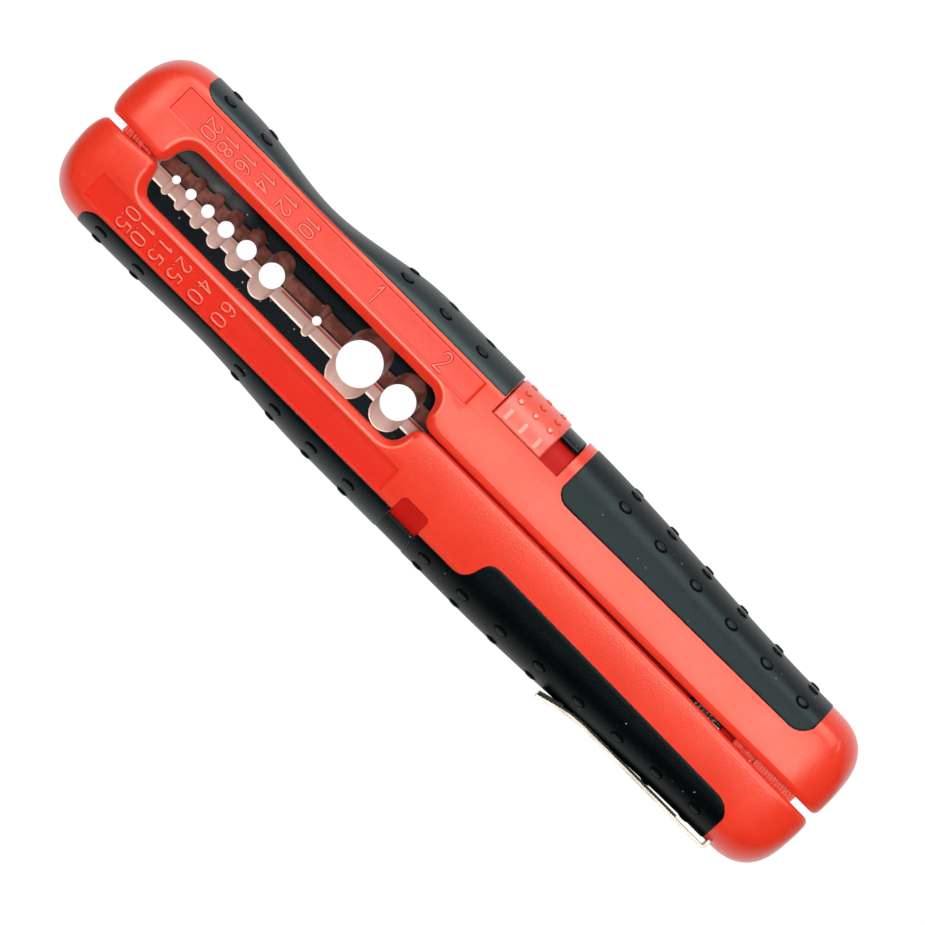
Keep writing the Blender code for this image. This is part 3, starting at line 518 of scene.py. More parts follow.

# A painted highlight line along the window's crest, paler than the red round it
RIM_LINE, RIM_LINE_SHIFT, RIM_WIDE, RIM_CORNER = (5.92, 53.0), 0.00009, 0.00551, 0.0033
RIM_PAINTED_HIGHLIGHT, nodes, given, result = effect("painted highlight on the window rim", (), ("Line",))
along, across = nodes.along_and_across()
rim_first, rim_last = (at(place).x for place in RIM_LINE)
squares = []
for value, centre, half_size in (
        (along, (rim_first + rim_last) / 2, (rim_last - rim_first) / 2),
        (across, RIM_LINE_SHIFT, RIM_WIDE)):
    away = nodes.math("ABSOLUTE", nodes.math("SUBTRACT", value, centre))
    away = nodes.math("MAXIMUM", nodes.math("SUBTRACT", away, half_size - RIM_CORNER), 0.0)
    squares.append(nodes.math("MULTIPLY", away, away))
reach = nodes.math("SQRT", nodes.math("ADD", *squares))
off_line = nodes.math("ABSOLUTE", nodes.math("SUBTRACT", reach, RIM_CORNER))
line = nodes.band(off_line, 0.00006, 0.00024, 1.0, 0.0)
clear = nodes.band(nodes.math("ABSOLUTE", across), 0.0014, 0.0022)
nodes.feed(result["Line"], nodes.math("MULTIPLY", line, clear))
print("effects:", ", ".join(group.name for group in (GRAIN, DUST, SCRATCH, RIM_PAINTED_HIGHLIGHT)))

# %% [markdown]
# ## Finishes
#
# The red halves are glass-filled nylon with a satin spark-eroded grain. The grips are a soft
# rubber, darker and duller. The blades are ground across, so their bevels carry fine lines.
# All of them could be painted by hand, but noise on Object coordinates follows every piece.

# %% Moulded finishes
# The second colour paints the highlight along the window's rim.
PANEL_RED, RIM_HIGHLIGHT_RED, CARRIER_FILM = (0.81, 0.024, 0.010), (0.93, 0.20, 0.14), (0.11, 0.13, 0.13)


def finish(name, roughness, metallic=0.0, specular=0.5):
    """A new material, the inputs of its Principled shader, and its nodes."""
    coat = bpy.data.materials.new(name)
    coat.use_nodes = True
    shader = coat.node_tree.nodes["Principled BSDF"].inputs
    for label, value in zip(("Roughness", "Metallic", "Specular IOR Level"),
                            (roughness, metallic, specular)):
        shader[label].default_value = value
    return coat, shader, Nodes(coat.node_tree)


def use(nodes, group, **values):
    """A shared effect with its own values. Gives the effect's outputs."""
    values = {label.replace("_", " "): value for label, value in values.items()}
    return nodes.add("ShaderNodeGroup", values, node_tree=group)


def bump(nodes, shader, height, distance):
    raised = nodes.add("ShaderNodeBump", {"Height": height, "Distance": distance})[0]
    nodes.feed(shader["Normal"], raised)


def panel_red(nodes, colour):
    """The deeper red of the label panel, and a painted highlight line along the window's rim."""
    along, across = nodes.along_and_across()
    inside = 1.0
    for value, (low, high) in ((along, PANEL_ALONG), (nodes.math("ABSOLUTE", across), PANEL_ACROSS)):
        for place, first in ((low, 0.0), (high, 1.0)):
            edge = nodes.band(value, place - 0.00005, place + 0.00005, first, 1.0 - first)
            inside = nodes.math("MULTIPLY", edge, inside)
    # The painted highlight along the window's rim
    rim_highlight = nodes.math("MULTIPLY", use(nodes, RIM_PAINTED_HIGHLIGHT)["Line"], 0.85)
    return nodes.mix(rim_highlight, nodes.mix(inside, colour, PANEL_RED), RIM_HIGHLIGHT_RED)


def carrier_film(nodes, colour, film_and_shade):
    """A grey layer of dust on the carrier of the lock half, near the smallest notches."""
    along, across = nodes.along_and_across()
    near = nodes.band(along, at(13).x, at(21).x, 1.0, 0.0)
    near = nodes.math("MULTIPLY", near, nodes.band(across, 0.0020, 0.0028))
    share = nodes.math("MULTIPLY", near, nodes.band(film_and_shade, 0.0, 0.4, 0.45, 1.0))
    return nodes.mix(share, colour, CARRIER_FILM)


def moulded(name, deep, light, roughness, grain=5200.0, depth=0.000012, specks=0.05,
            speck_colour=(0.9, 0.7, 0.62), specular=0.5, sheen=0.0, film_and_shade=False, panel=False,
            tint=(1.0, 1.0, 1.0)):
    """A moulded plastic or rubber: clouded colour, fine grain, a few specks of dust."""
    coat, shader, nodes = finish(name, roughness, 0.0, specular)
    for label, value in zip(("Sheen Weight", "Sheen Roughness", "Specular Tint"), (sheen, 0.35, tint)):
        nodes.feed(shader[label], value)
    grained = use(nodes, GRAIN, Grain_Scale=grain, Cloud_Scale=150.0)
    dusty = use(nodes, DUST, Speck_Scale=1100.0, Amount=specks)
    colour = nodes.mix(nodes.band(grained["Cloud"], 0.3, 0.7), deep, light)
    if panel:
        colour = panel_red(nodes, colour)
    if film_and_shade:
        colour = carrier_film(nodes, colour, dusty["Film"])
    nodes.feed(shader["Base Color"], nodes.mix(dusty["Specks"], colour, speck_colour))
    nodes.feed(shader["Roughness"],
               nodes.band(grained["Cloud"], 0.25, 0.75, roughness - 0.02, roughness + 0.02))
    bump(nodes, shader, grained["Height"], depth)
    return coat


RED = moulded("red moulded nylon", (0.845, 0.037, 0.015), (0.895, 0.045, 0.019), 0.31,
              depth=0.00002, specular=0.28, sheen=0.10, panel=True, tint=(1.0, 0.96, 0.78))
# A darker copy of the red, painted in shade: the faces cut by the Booleans, the lip in the slit, the
# rings round the slide's rounds and the strokes under the numbers.
RED_PAINTED_SHADE = moulded("red nylon painted in shade", (0.55, 0.010, 0.006), (0.60, 0.013, 0.008), 0.5,
                     specks=0.0, specular=0.06)
RED_SLIDE = moulded("red slide nylon", (0.88, 0.085, 0.045), (0.92, 0.100, 0.055), 0.36,
                    specular=0.35, sheen=0.2)
RED_MARKS = moulded("raised red marks", (0.92, 0.140, 0.085), (0.94, 0.170, 0.105), 0.36, specks=0.0)
# The slide's raised marks, painted pale as highlights.
MARKS_PAINTED_HIGHLIGHT = moulded("red marks painted pale as highlights", (0.92, 0.29, 0.21), (0.94, 0.34, 0.26), 0.4, specks=0.0)
SOFT = {"roughness": 0.42, "grain": 3800.0, "depth": 0.000030, "specks": 0.3,
        "speck_colour": (0.30, 0.33, 0.32), "tint": (0.72, 0.98, 1.0)}
RUBBER = moulded("soft black grip", (0.0012, 0.0018, 0.0024), (0.003, 0.004, 0.0046),
                 specular=0.15, **SOFT)
# A lighter, glossier copy of the grip rubber, painted as if lit, for the lock half's front grip.
RUBBER_PAINTED_LIT = moulded("soft grip, painted lighter as if lit", (0.0030, 0.0042, 0.0050),
                      (0.0062, 0.0075, 0.0080), specular=0.27, **SOFT)
RUBBER_DEEP = moulded("soft grip in the shade", (0.0008, 0.0012, 0.0016), (0.002, 0.0028, 0.0032),
                      specular=0.08, **SOFT)
# Near-black painted shade: the shadow at the feet of the studs, and the floor under the coil deep in
# the slit.
BLACK_PAINTED_SHADE = moulded("black painted shade at stud feet and in the slit", (0.0005, 0.0006, 0.0008), (0.001, 0.0012, 0.0015),
                      0.7, specks=0.0, specular=0.03)
CARRIER = moulded("black carrier nylon", (0.0012, 0.0018, 0.0025), (0.005, 0.007, 0.009), 0.40,
                  grain=3600.0, depth=0.00002, specks=0.7, speck_colour=(0.50, 0.52, 0.50),
                  specular=0.04, film_and_shade=True, tint=(0.75, 0.95, 1.0))
# Glossy black for the catch strip; the clip's two dark layers use it as a painted shadow.
GLOSS_BLACK_AND_SHADOW = moulded("glossy black and painted shadow", (0.002, 0.003, 0.003), (0.006, 0.007, 0.007), 0.30,
                      specks=0.4, specular=0.10)

# %% Steel finishes
def blade_marks(nodes, colour, cloud):
    """Painted light and shade on a blade: brown shade and red reflection on the upper bevel, painted
    light on the outer lower bevel, a painted shadow along the edge, and a painted red reflection near
    the lower edge.
    """
    along, across = nodes.along_and_across()
    # Painted shade and red reflection for the upper bevel, clouded a little
    film_and_shade = nodes.mix(nodes.band(cloud, 0.4, 0.62), (0.14, 0.040, 0.028), (0.30, 0.13, 0.10))
    # Painted light on the outer part of the lower bevel
    colour = nodes.mix(nodes.band(across, -0.0011, -0.0006, 0.55, 0.0), colour, (1.0, 0.80, 0.72))
    colour = nodes.mix(nodes.band(across, -0.00002, 0.00006), colour, film_and_shade)
    # A painted shadow along the edge, where the blades meet
    edge_shadow = nodes.band(nodes.math("ABSOLUTE", across), 0.00010, 0.00018, 1.0, 0.0)
    colour = nodes.mix(edge_shadow, colour, (0.010, 0.004, 0.003))
    # A painted red reflection near the lower edge, fainter on the wire blade
    off_red_reflection = nodes.math("ABSOLUTE", nodes.math("ADD", across, 0.00042))
    red_reflection = nodes.band(off_red_reflection, 0.00008, 0.00022, 0.9, 0.0)
    strength = nodes.band(along, at(28.3).x, at(28.5).x, 0.35, 1.0)
    return nodes.mix(nodes.math("MULTIPLY", red_reflection, strength), colour, (0.64, 0.045, 0.03))


def ground_steel(name, tint, roughness, metallic, blade=False, **lines):
    """Ground or drawn steel with fine lines. A blade also gets painted light and shade on its bevels.
    """
    coat, shader, nodes = finish(name, roughness, metallic)
    scratched = use(nodes, SCRATCH, **lines)["Lines"]
    cloud = use(nodes, GRAIN, Grain_Scale=2500.0, Cloud_Scale=400.0)["Cloud"]
    colour = nodes.mix(nodes.band(cloud, 0.35, 0.7), tuple(0.94 * part for part in tint), tint)
    if blade:
        colour = blade_marks(nodes, colour, cloud)
    nodes.feed(shader["Base Color"], colour)
    nodes.feed(shader["Roughness"], nodes.band(scratched, 0.3, 0.7, roughness - 0.07, roughness + 0.1))
    bump(nodes, shader, scratched, 0.000012)
    return coat


EVEN = {"Along_X": 900.0, "Along_Y": 900.0, "Along_Z": 900.0}
# The blade steel's warm pink tint partly paints the red of the halves reflected in the bevels.
BLADE_STEEL = ground_steel("ground blade steel", (1.0, 0.70, 0.57), 0.50, 0.25, True,
                           Along_X=1800.0, Along_Y=250.0, Along_Z=250.0)
PLAIN_STEEL = ground_steel("drawn pin steel", (0.80, 0.78, 0.74), 0.36, 0.9, **EVEN)
SPRING_STEEL = ground_steel("bright spring steel", (0.95, 0.92, 0.88), 0.45, 0.2, **EVEN)
CLIP_STEEL = ground_steel("sprung clip steel", (0.36, 0.315, 0.26), 0.42, 0.9,
                          Along_X=120.0, Along_Y=3000.0, Along_Z=3000.0)
print(len(bpy.data.materials), "finishes")


def settle(piece, body, slot_name, *nodes):
    """A piece rides on a body and stands for its plain nodes. Its slot name is not used."""
    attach(piece, body)
    if nodes:
        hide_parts(*nodes)
    return piece


# %% [markdown]
# ## The soft grips
#
# The grips are moulded over the halves in a second shot, so they follow the same outer form and
# stand a tenth of a millimetre proud, with a soft edge all round. They could be cut out of the
# form, but a patch that is drawn along the grip's own edge line has no ragged corners.

# %% Patches that follow the outer form
# How far a pad stands out of the skin, at some distances from its edge
EDGE_LIFT = ((0.0, -0.00030), (0.00004, -0.00008), (0.00009, 0.00002), (0.00016, 0.00007),
             (0.00028, 0.0001))


def skin_line(half, x, edge, shape):
    """Points over one section's skin, from an edge on the front face to the same on the back.

    shape(length) gives pairs: a distance along the skin, and a rise out of it."""
    start = side_at(half, x) - run_at(half, x)
    rows = [edge] + inner(edge, start, 8) if edge < start else []
    rows += [max(start, edge)] + side_rows(half, x, max(start, edge), 60)
    line = [Vector((y, skin_height(half, x, y))) for y in rows]
    line += [Vector((y, -z)) for y, z in reversed(line[:-1])]
    reach = [0.0]
    for a, b in zip(line, line[1:]):
        reach.append(reach[-1] + (b - a).length)
    points, index = [], 0
    for place, rise in shape(reach[-1]):
        while index < len(line) - 2 and reach[index + 1] < place:
            index += 1
        share = (place - reach[index]) / max(reach[index + 1] - reach[index], 1e-9)
        here = line[index].lerp(line[index + 1], clamp(share))
        run = line[min(index + 2, len(line) - 1)] - line[max(index - 1, 0)]
        out = Vector((-run.y, run.x)).normalized()
        points.append(here + (rise if out.dot(Vector((0.004, here.y))) > 0 else -rise) * out)
    return points


def patch(name, half, edge_line, count, coat, profile=EDGE_LIFT, wall=0.0004):
    """A closed pad on the skin of a half. edge_line has (edge x, edge y, side x) for each column."""
    borders = [step for step, _ in profile]
    ends = (edge_line[0][2], edge_line[-1][2])
    sections = []
    for edge_x, edge, side_x in edge_line:
        from_end = min(abs(side_x - end) for end in ends)

        def shape(length):
            places = borders + inner(borders[-1], length - borders[-1], count)
            places += [length - step for step in reversed(borders)]
            return [(place, eased(min(from_end, place, length - place), profile, False))
                    for place in places]

        line = skin_line(half, side_x, edge, shape)
        middle = (len(line) - 1) / 2
        keys = ((0, edge_x), (1, side_x))
        sections.append([(eased(1.6 * (1 - abs(index / middle - 1)), keys), half.side * y, MID + z)
                         for index, (y, z) in enumerate(line)])
    bm = bmesh.new()
    push_ring(bm, sections, False)
    bmesh.ops.recalc_face_normals(bm, faces=bm.faces)
    outward = sum(face.normal.y * half.side for face in bm.faces)
    bmesh.ops.solidify(bm, geom=bm.faces, thickness=wall if outward > 0 else -wall)
    return to_object(bm, name, coat, SOFT_SHARP)


def patch_columns(first, last, edge, profile=EDGE_LIFT, pitch=0.0006):
    """Columns of a patch, with the fine steps of its soft edge at both ends."""
    borders = [step for step, _ in profile]
    xs = [first + step for step in borders] + [last - step for step in borders]
    xs += inner(first, last, int((last - first) / pitch))
    return [(x, edge(x), x) for x in sorted({round(x, 6) for x in xs})]


def corner(x, start, run, far, near):
    """A quarter-round corner of a grip's edge line, from far at start to near after the run."""
    share = clamp((x - start) / run)
    return near + (far - near) * (1 - math.sqrt(max(0.0, 1 - (1 - share) ** 2)))


# %% Edge lines of the grips
FRONT_START, FRONT_END = at(3.95).x, at(57.62).x
REAR_START, REAR_END = at(70.4).x, at(113.9).x
# The notch of the catch parts the long grip, beside the small sunk field of the clip half
NOTCH = (at(57.47).x, at(61.83).x)
# The long grip's edge swings outwards in an S between its two widths, in millimetres
SWING = [(66.0, 9.7, 66.0), (68.4, 9.68, 68.2), (69.5, 9.25, 69.3), (70.2, 8.3, 70.0),
         (70.55, 7.1, 70.7), (71.1, 6.10, 71.5), (72.2, 5.65, 72.4), (74.0, 5.6, 74.0)]


def front_edge(x):
    return corner(x, FRONT_START, 0.0026, 0.0119, 0.0100) - 0.0001 * (x - FRONT_START) / 0.054


def rear_edge(x):
    near = 0.00553 + 0.00057 * (x - REAR_START) / (REAR_END - REAR_START)
    return max(corner(x, REAR_START, 0.0022, 0.0077, near),
               corner(-x, -REAR_END, 0.0026, 0.0088, near))


def long_grip_columns():
    """The columns of the clip half's grip, before and behind the notch."""
    swing = bend(SWING, 5)
    first, last = swing[0][0], swing[-1][0]

    def edge(x):
        if x < first:
            drop = 0.0002 * (x - FRONT_START) / 0.062
            return corner(x, FRONT_START, 0.0026, 0.0117, 0.0099) - drop
        near = 0.0056 + 0.0004 * (x - last) / (REAR_END - last)
        return corner(-x, -REAR_END, 0.0028, 0.0084, near)

    rows = patch_columns(NOTCH[1], REAR_END, edge)
    before, behind = [row for row in rows if row[0] < first], [row for row in rows if row[0] > last]
    return patch_columns(FRONT_START, NOTCH[0], edge), before + swing + behind


# %% Make the grips
front_columns = patch_columns(FRONT_START, FRONT_END, front_edge)
rear_columns = patch_columns(REAR_START, REAR_END, rear_edge)
clip_front, clip_rear = long_grip_columns()
for name, half, edge_line, count, coat, nodes in (
        # The front grip takes the rubber painted lighter as if lit.
        ("grip_front_lock", LOCK, front_columns, 44, RUBBER_PAINTED_LIT, ["front_grip_lock_half"]),
        ("grip_rear_lock", LOCK, rear_columns, 56, RUBBER, ["rear_grip_lock_half"]),
        ("grip_clip", CLIP, clip_rear, 56, RUBBER_DEEP, ["grip_clip_half"]),
        ("grip_clip_front", CLIP, clip_front, 44, RUBBER, [])):
    grip = patch(name, half, edge_line, count, coat)
    settle(grip, half.body, "soft_grip", *nodes)
    print(name, "has", len(grip.data.polygons), "faces")

# %% [markdown]
# ## The studs
#
# Small oval studs stop the fingers from slipping. Each one is a low plug whose foot, sunk a
# little into the grip, is coloured near-black as a painted shadow, which draws the thin black
# ovals. A plug is a ring of vertices pushed up through eight sizes, set on the skin of the grip
# along its slope.

# %% Studs
# Each row: size of the ring, as a share, and its height
LOW_STUD = ((1.34, -0.0001), (1.30, 0.00002), (1.16, 0.00003), (1.0, 0.00003),
            (0.92, 0.00009), (0.76, 0.00014), (0.52, 0.00017), (0.26, 0.00018))
TALL_STUD = ((1.24, -0.0001), (1.18, 0.00002), (1.06, 0.00003), (0.96, 0.00003),
             (0.88, 0.00016), (0.76, 0.00022), (0.52, 0.00026), (0.26, 0.00028))
STUD_PITCH, STUD_LENGTH, STUD_WIDTH, STUD_SIDES = 0.00653, 0.0016, 0.0011, 20
WIDEST = CAD_BOX[1][1] - 0.00004


def skin_frame(half, x, z, lift):
    """A frame on the side of a half at a height over its middle, with its Z pointing out."""
    def out_at(place, height):
        low, high = 0.002, side_at(half, place)
        for halving in range(24):
            y = (low + high) / 2
            low, high = (y, high) if skin_height(half, place, y) > abs(height) else (low, y)
        return Vector((place, half.side * y, MID + height))

    step = 0.0002
    along = (out_at(x + step, z) - out_at(x - step, z)).normalized()
    up = (out_at(x, z + step) - out_at(x, z - step)).normalized()
    out = along.cross(up)
    out = out if out.y * half.side > 0 else -out
    turn = Matrix((along, out.cross(along).normalized(), out)).transposed().to_4x4()
    return Matrix.Translation(out_at(x, z) + out * lift) @ turn


def plug(bm, frame, length, width, profile, dark_rows=0, top=0):
    """An oval plug in a frame. Its lowest bands take the second finish, a painted shadow at the foot,
    the rest the one at top.
    """
    circle = [2 * math.pi * step / STUD_SIDES for step in range(STUD_SIDES)]
    sections = [[frame @ Vector((size * length / 2 * math.cos(angle),
                                 size * width / 2 * math.sin(angle), height)) for angle in circle]
                for size, height in profile]
    rows = push_ring(bm, sections, True)
    bm.faces.new(rows[-1])
    bm.faces.new(rows[0])
    for face in {face for row in rows for vert in row for face in vert.link_faces}:
        face.material_index = top
    for low, high in list(zip(rows, rows[1:]))[:dark_rows]:
        for face in {face for vert in low for face in vert.link_faces}:
            if any(vert in high for vert in face.verts):
                face.material_index = 1


def studs(name, half, groups):
    """Rows of studs. A group has its start, its count, the first row's heights and the others."""
    bm = bmesh.new()
    for start, count, (first, last), others in groups:
        for step in range(count):
            x = at(start).x + step * STUD_PITCH
            edge_row = first + (last - first) * step / (count - 1)
            for height in (edge_row, *others):
                form = LOW_STUD if height == edge_row else TALL_STUD
                for z in {height * 0.001, -height * 0.001}:
                    here = skin_frame(half, x, z, 0.0001)
                    tall = min(1.0, (WIDEST - abs(here.translation.y)) / form[-1][1])
                    profile = [(size, rise * tall if rise > 0 else rise) for size, rise in form]
                    plug(bm, here, STUD_LENGTH, STUD_WIDTH, profile, 4)
    piece = to_object(bm, name, RUBBER, 60)
    # The second finish paints the shadow at the foot of each stud.
    piece.data.materials.append(BLACK_PAINTED_SHADE)
    return settle(piece, half.body, "soft_grip")


studs("studs_front_lock", LOCK, ((7.4, 2, (7.0, 6.9), (2.6,)), (38.5, 3, (6.6, 6.8), (2.6,))))
studs("studs_rear_lock", LOCK, ((77.85, 6, (7.7, 8.25), (4.4, 0.0)),))
studs("studs_clip", CLIP, ((7.5, 2, (6.6, 6.4), (2.6,)), (31.9, 4, (6.3, 6.3), (2.6,)),
                           (64.7, 8, (6.6, 7.7), (3.0,))))
print("studs are on")

# %% [markdown]
# ## The two moulded halves
#
# Each half is one closed body, pushed through the sections above. What only shows when the tool
# is opened, such as the pockets of the spring, the hook and the hinge, is cut out of it with
# Booleans, because straight pockets don't need the flow of the skin.

# %% Cutters
HINGE = at(114.95).x
HINGE_LUG, HINGE_CLEAR, LUG_GAP = 0.0033, 0.0037, 0.0003
LUG_TOP, TONGUE_TOP = 0.0060, 0.0022
# The rounded corner of the sunk field, as shares of its run and of its drop
FIELD_CORNER = ((0.0, 1.0), (0.12, 0.55), (0.4, 0.18), (1.0, 0.0))


# Every cutter carries the red painted in shade, which the Booleans hand on to the faces they cut.
def box_cutter(name, low, high):
    """A box between two corners in millimetres."""
    bm = bmesh.new()
    block(bm, at(*low), at(*high))
    return to_object(bm, name, RED_PAINTED_SHADE)


def round_cutter(name, low, high):
    """A round room about the hinge, between two heights."""
    bm = bmesh.new()
    post(bm, HINGE, 0, HINGE_CLEAR, low, high)
    return to_object(bm, name, RED_PAINTED_SHADE)


def skin_cutter(name, half, first, last, edge, depth, corner_run=0.0):
    """Cuts the skin of a half away between two places, outside an edge, down to a depth."""
    places = [(first, edge), (last, edge)]
    if corner_run:
        curve = [(corner_run * share, edge + corner_run * drop) for share, drop in FIELD_CORNER]
        places = [(first + run, y) for run, y in curve]
        places += [(last - run, y) for run, y in reversed(curve)]
    sections = []
    for x, inside in places:
        line = skin_line(half, x, inside,
                         lambda length: [(length * step / 40, -depth) for step in range(41)])
        skin = [(inside, line[0].y)] + [tuple(point) for point in line[1:-1]] + [(inside, line[-1].y)]
        outer = [(inside, -0.013), (0.018, -0.013), (0.018, 0.013), (inside, 0.013)]
        sections.append([(x, half.side * y, MID + z) for y, z in skin + outer])
    return tube(name, sections, RED_PAINTED_SHADE)


# %% Halves
housing_lock, housing_clip = (
    tube(name, [half_section(half, *column) for column in columns()], RED, SOFT_SHARP)
    for half, name in ((LOCK, "housing_lock"), (CLIP, "housing_clip")))
lug_reach, tongue_reach = LUG_TOP + LUG_GAP, TONGUE_TOP + LUG_GAP
take_away(housing_lock,
          skin_cutter("slide_slot", LOCK, at(57.62).x, at(69.1).x, 0.00745, 0.0013),
          box_cutter("spring_room_lock", (100.4, -1, 7.5), (108.6, 2.1, 11.5)),
          round_cutter("lug_room", MID - lug_reach, MID + lug_reach),
          box_cutter("lip_slot", (53.9, -1, 3.3), (100.4, 0.85, 15.3)),
          box_cutter("hook_room_lock", (57.8, -1, 7.9), (64.4, 12.2, 11.1)))
take_away(housing_clip,
          box_cutter("spring_room_clip", (100.4, -2.1, 7.5), (111.3, 1, 11.5)),
          round_cutter("tongue_room", MID - tongue_reach, MID + tongue_reach),
          box_cutter("hook_room_clip", (57.6, -4.5, 7.9), (67.0, 1, 11.1)),
          round_cutter("comb_room", MID + LUG_TOP + 0.0001, 0.01785),
          box_cutter("lip_groove", (53.7, -1.05, 3.2), (100.6, 1, 15.4)),
          box_cutter("guide_groove", (0.1, -1.8, 7.7), (5.5, 1, 11.3)),
          skin_cutter("sunk_field", CLIP, at(57.4).x, at(61.9).x, 0.0075, 0.0006, 0.0007))
settle(housing_lock, "lock_half", "red_housing", "housing_lock_half")
settle(housing_clip, "clip_half", "red_housing", "housing_clip_half")
print("halves:", len(housing_lock.data.polygons), len(housing_clip.data.polygons), "faces")

# %% [markdown]
# ## Carriers and blades
#
# The two black carriers hold the ground blades. The notches of the two halves meet as round
# holes, so an outline with true half circles is pushed through the thickness of the steel. The
# outline slides back as it rises, which gives each notch its slanting flute.

# %% Carriers and blades
# Place along the tool and diameter of each stripping hole, in millimetres
WIRE_HOLES = ((9.32, 1.1), (11.89, 1.4), (14.87, 1.7), (18.08, 2.1), (21.72, 2.55), (26.22, 3.3))
COAX_HOLES = ((34.17, 1.2), (41.78, 6.0), (48.57, 4.6))
NOTCH_STEPS = 28
BLADE_FIRST, SPLIT, BLADE_LAST = at(6.35).x, at(28.37).x, at(54.17).x
BLADE_GAP, BLADE_BACK, CARRIER_BACK = 0.00001, 0.0066, 0.0078
# Each row: height over the middle, and how far the outline has slid back
BLADE_LAYERS = ((-0.0018, 0.0018), (-0.00003, 0.0), (0.00003, 0.0), (0.0018, 0.0018))
CARRIER_LAYERS = ((-0.0040, 0.00215), (-0.0039, 0.00198), (-0.00182, 0.00195),
                  (0.00182, 0.00195), (0.0039, 0.00198), (0.0040, 0.00215))


def notched(half, first, last, holes, edge, back, shift):
    """A straight edge with a half circle at each hole, closed along its back."""
    points = [(first, edge + shift)]
    for centre, diameter in holes:
        radius = diameter / 2000
        start = math.asin(min(edge / radius, 1.0))
        for step in range(NOTCH_STEPS + 1):
            angle = math.pi - start - (math.pi - 2 * start) * step / NOTCH_STEPS
            points.append((at(centre).x + radius * math.cos(angle), shift + radius * math.sin(angle)))
    points += [(last, edge + shift), (last, back), (first, back)]
    return [(x, half.side * y) for x, y in points]


def notched_bar(name, half, span, holes, edge, back, layers, coat, sharp):
    """A notched outline pushed through its layers."""
    sections = [[(x, y, MID + height) for x, y in notched(half, *span, holes, edge, back, shift)]
                for height, shift in layers]
    return tube(name, sections, coat, sharp)


for half in (LOCK, CLIP):
    word = half.body
    bar = notched_bar("carrier_" + word, half, (BLADE_FIRST, BLADE_LAST), WIRE_HOLES + COAX_HOLES,
                      0.00012, CARRIER_BACK, CARRIER_LAYERS, CARRIER, 15)
    settle(bar, word, "black_carrier", "blade_carrier_" + word)
    for kind, span, holes in (("wire", (BLADE_FIRST, SPLIT - BLADE_GAP), WIRE_HOLES),
                              ("coax", (SPLIT + BLADE_GAP, BLADE_LAST), COAX_HOLES)):
        bar = notched_bar("blade_%s_%s" % (kind, word), half, span, holes,
                          0.000002, BLADE_BACK, BLADE_LAYERS, BLADE_STEEL, 30)
        settle(bar, word, "blade_steel", "%s_blade_%s" % (kind, word))
print("carriers and blades are in")

# %% [markdown]
# ## Pins, spring and what shows in the slit
#
# Pins are turned and get a small chamfer, so each is a cone primitive with bevelled ends. In
# the slit lie a sealing lip, the coil of the opening spring and a ribbed guide at each end.

# %% Pins
def stand_in_pin(node, name, body):
    """A smooth pin in the place of a plain one, which gives its centre, radius and ends."""
    low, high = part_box(node)
    centre = (low + high) / 2
    bm = bmesh.new()
    post(bm, centre.x, centre.y, (high.y - low.y) / 2, low.z, high.z)
    rims = [edge for edge in bm.edges if abs(edge.verts[0].co.z - edge.verts[1].co.z) < SAME]
    soften(bm, rims, 0.00012)
    return settle(to_object(bm, name, PLAIN_STEEL), body, "plain_steel", node)


for body in ("lock_half", "clip_half"):
    for number in (1, 2, 3, 4):
        stand_in_pin("blade_dowel_%s_%d" % (body, number), "dowel_%s_%d" % (body, number), body)
stand_in_pin("hinge_pin", "pin_of_hinge", "lock_half")
stand_in_pin("catch_pin", "pin_of_catch", "clip_half")
print("pins are in")

# %% Hinge plates
def disc(name, half, low, high):
    """A round hinge plate with a neck to its own half, between two heights over the middle."""
    ring = [(HINGE + HINGE_LUG * math.cos(math.pi * step / 32),
             -half.side * HINGE_LUG * math.sin(math.pi * step / 32)) for step in range(33)]
    ring += [(HINGE - HINGE_LUG, half.side * 0.0045), (HINGE + HINGE_LUG, half.side * 0.0045)]
    return tube(name, [[(x, y, MID + z) for x, y in ring] for z in (low, high)], RED, 40)


for name, half, low, high in (("hinge_tongue", LOCK, -TONGUE_TOP, TONGUE_TOP),
                              ("hinge_lug_low", CLIP, -LUG_TOP, -tongue_reach),
                              ("hinge_lug_high", CLIP, tongue_reach, LUG_TOP),
                              ("comb_disc", LOCK, lug_reach, 0.0173 - MID)):
    settle(disc(name, half, low, high), half.body, "red_housing")
print("hinge plates are in")

# %% Lip and guides
RIB_PITCH, RIB_SHARE, RIB_EDGE, BLOCK_EDGE = 0.00045, 0.55, 0.00008, 0.0001


def ribs(bm, first, last, across, low, high):
    """A row of small ridges along the slit, each a narrow block with rounded top edges."""
    for step in range(int((last - first) / RIB_PITCH)):
        x, half_width = first + (step + 0.5) * RIB_PITCH, RIB_PITCH * RIB_SHARE / 2
        made = block(bm, (x - half_width, across, low), (x + half_width, 0.0009, high))
        top = [edge for edge in {edge for vert in made for edge in vert.link_edges}
               if min(vert.co.z for vert in edge.verts) > high - SAME]
        soften(bm, top, RIB_EDGE)


def block_piece(name, blocks, coat, rows=()):
    """Plain blocks with softened edges, and rows of ribs on them in millimetres, as one piece."""
    bm = bmesh.new()
    for low, high in blocks:
        block(bm, low, high)
    soften(bm, bm.edges, BLOCK_EDGE)
    for first, last, *heights in rows:
        ribs(bm, at(first).x, at(last).x, *(value * 0.001 for value in heights))
    return to_object(bm, name, coat)


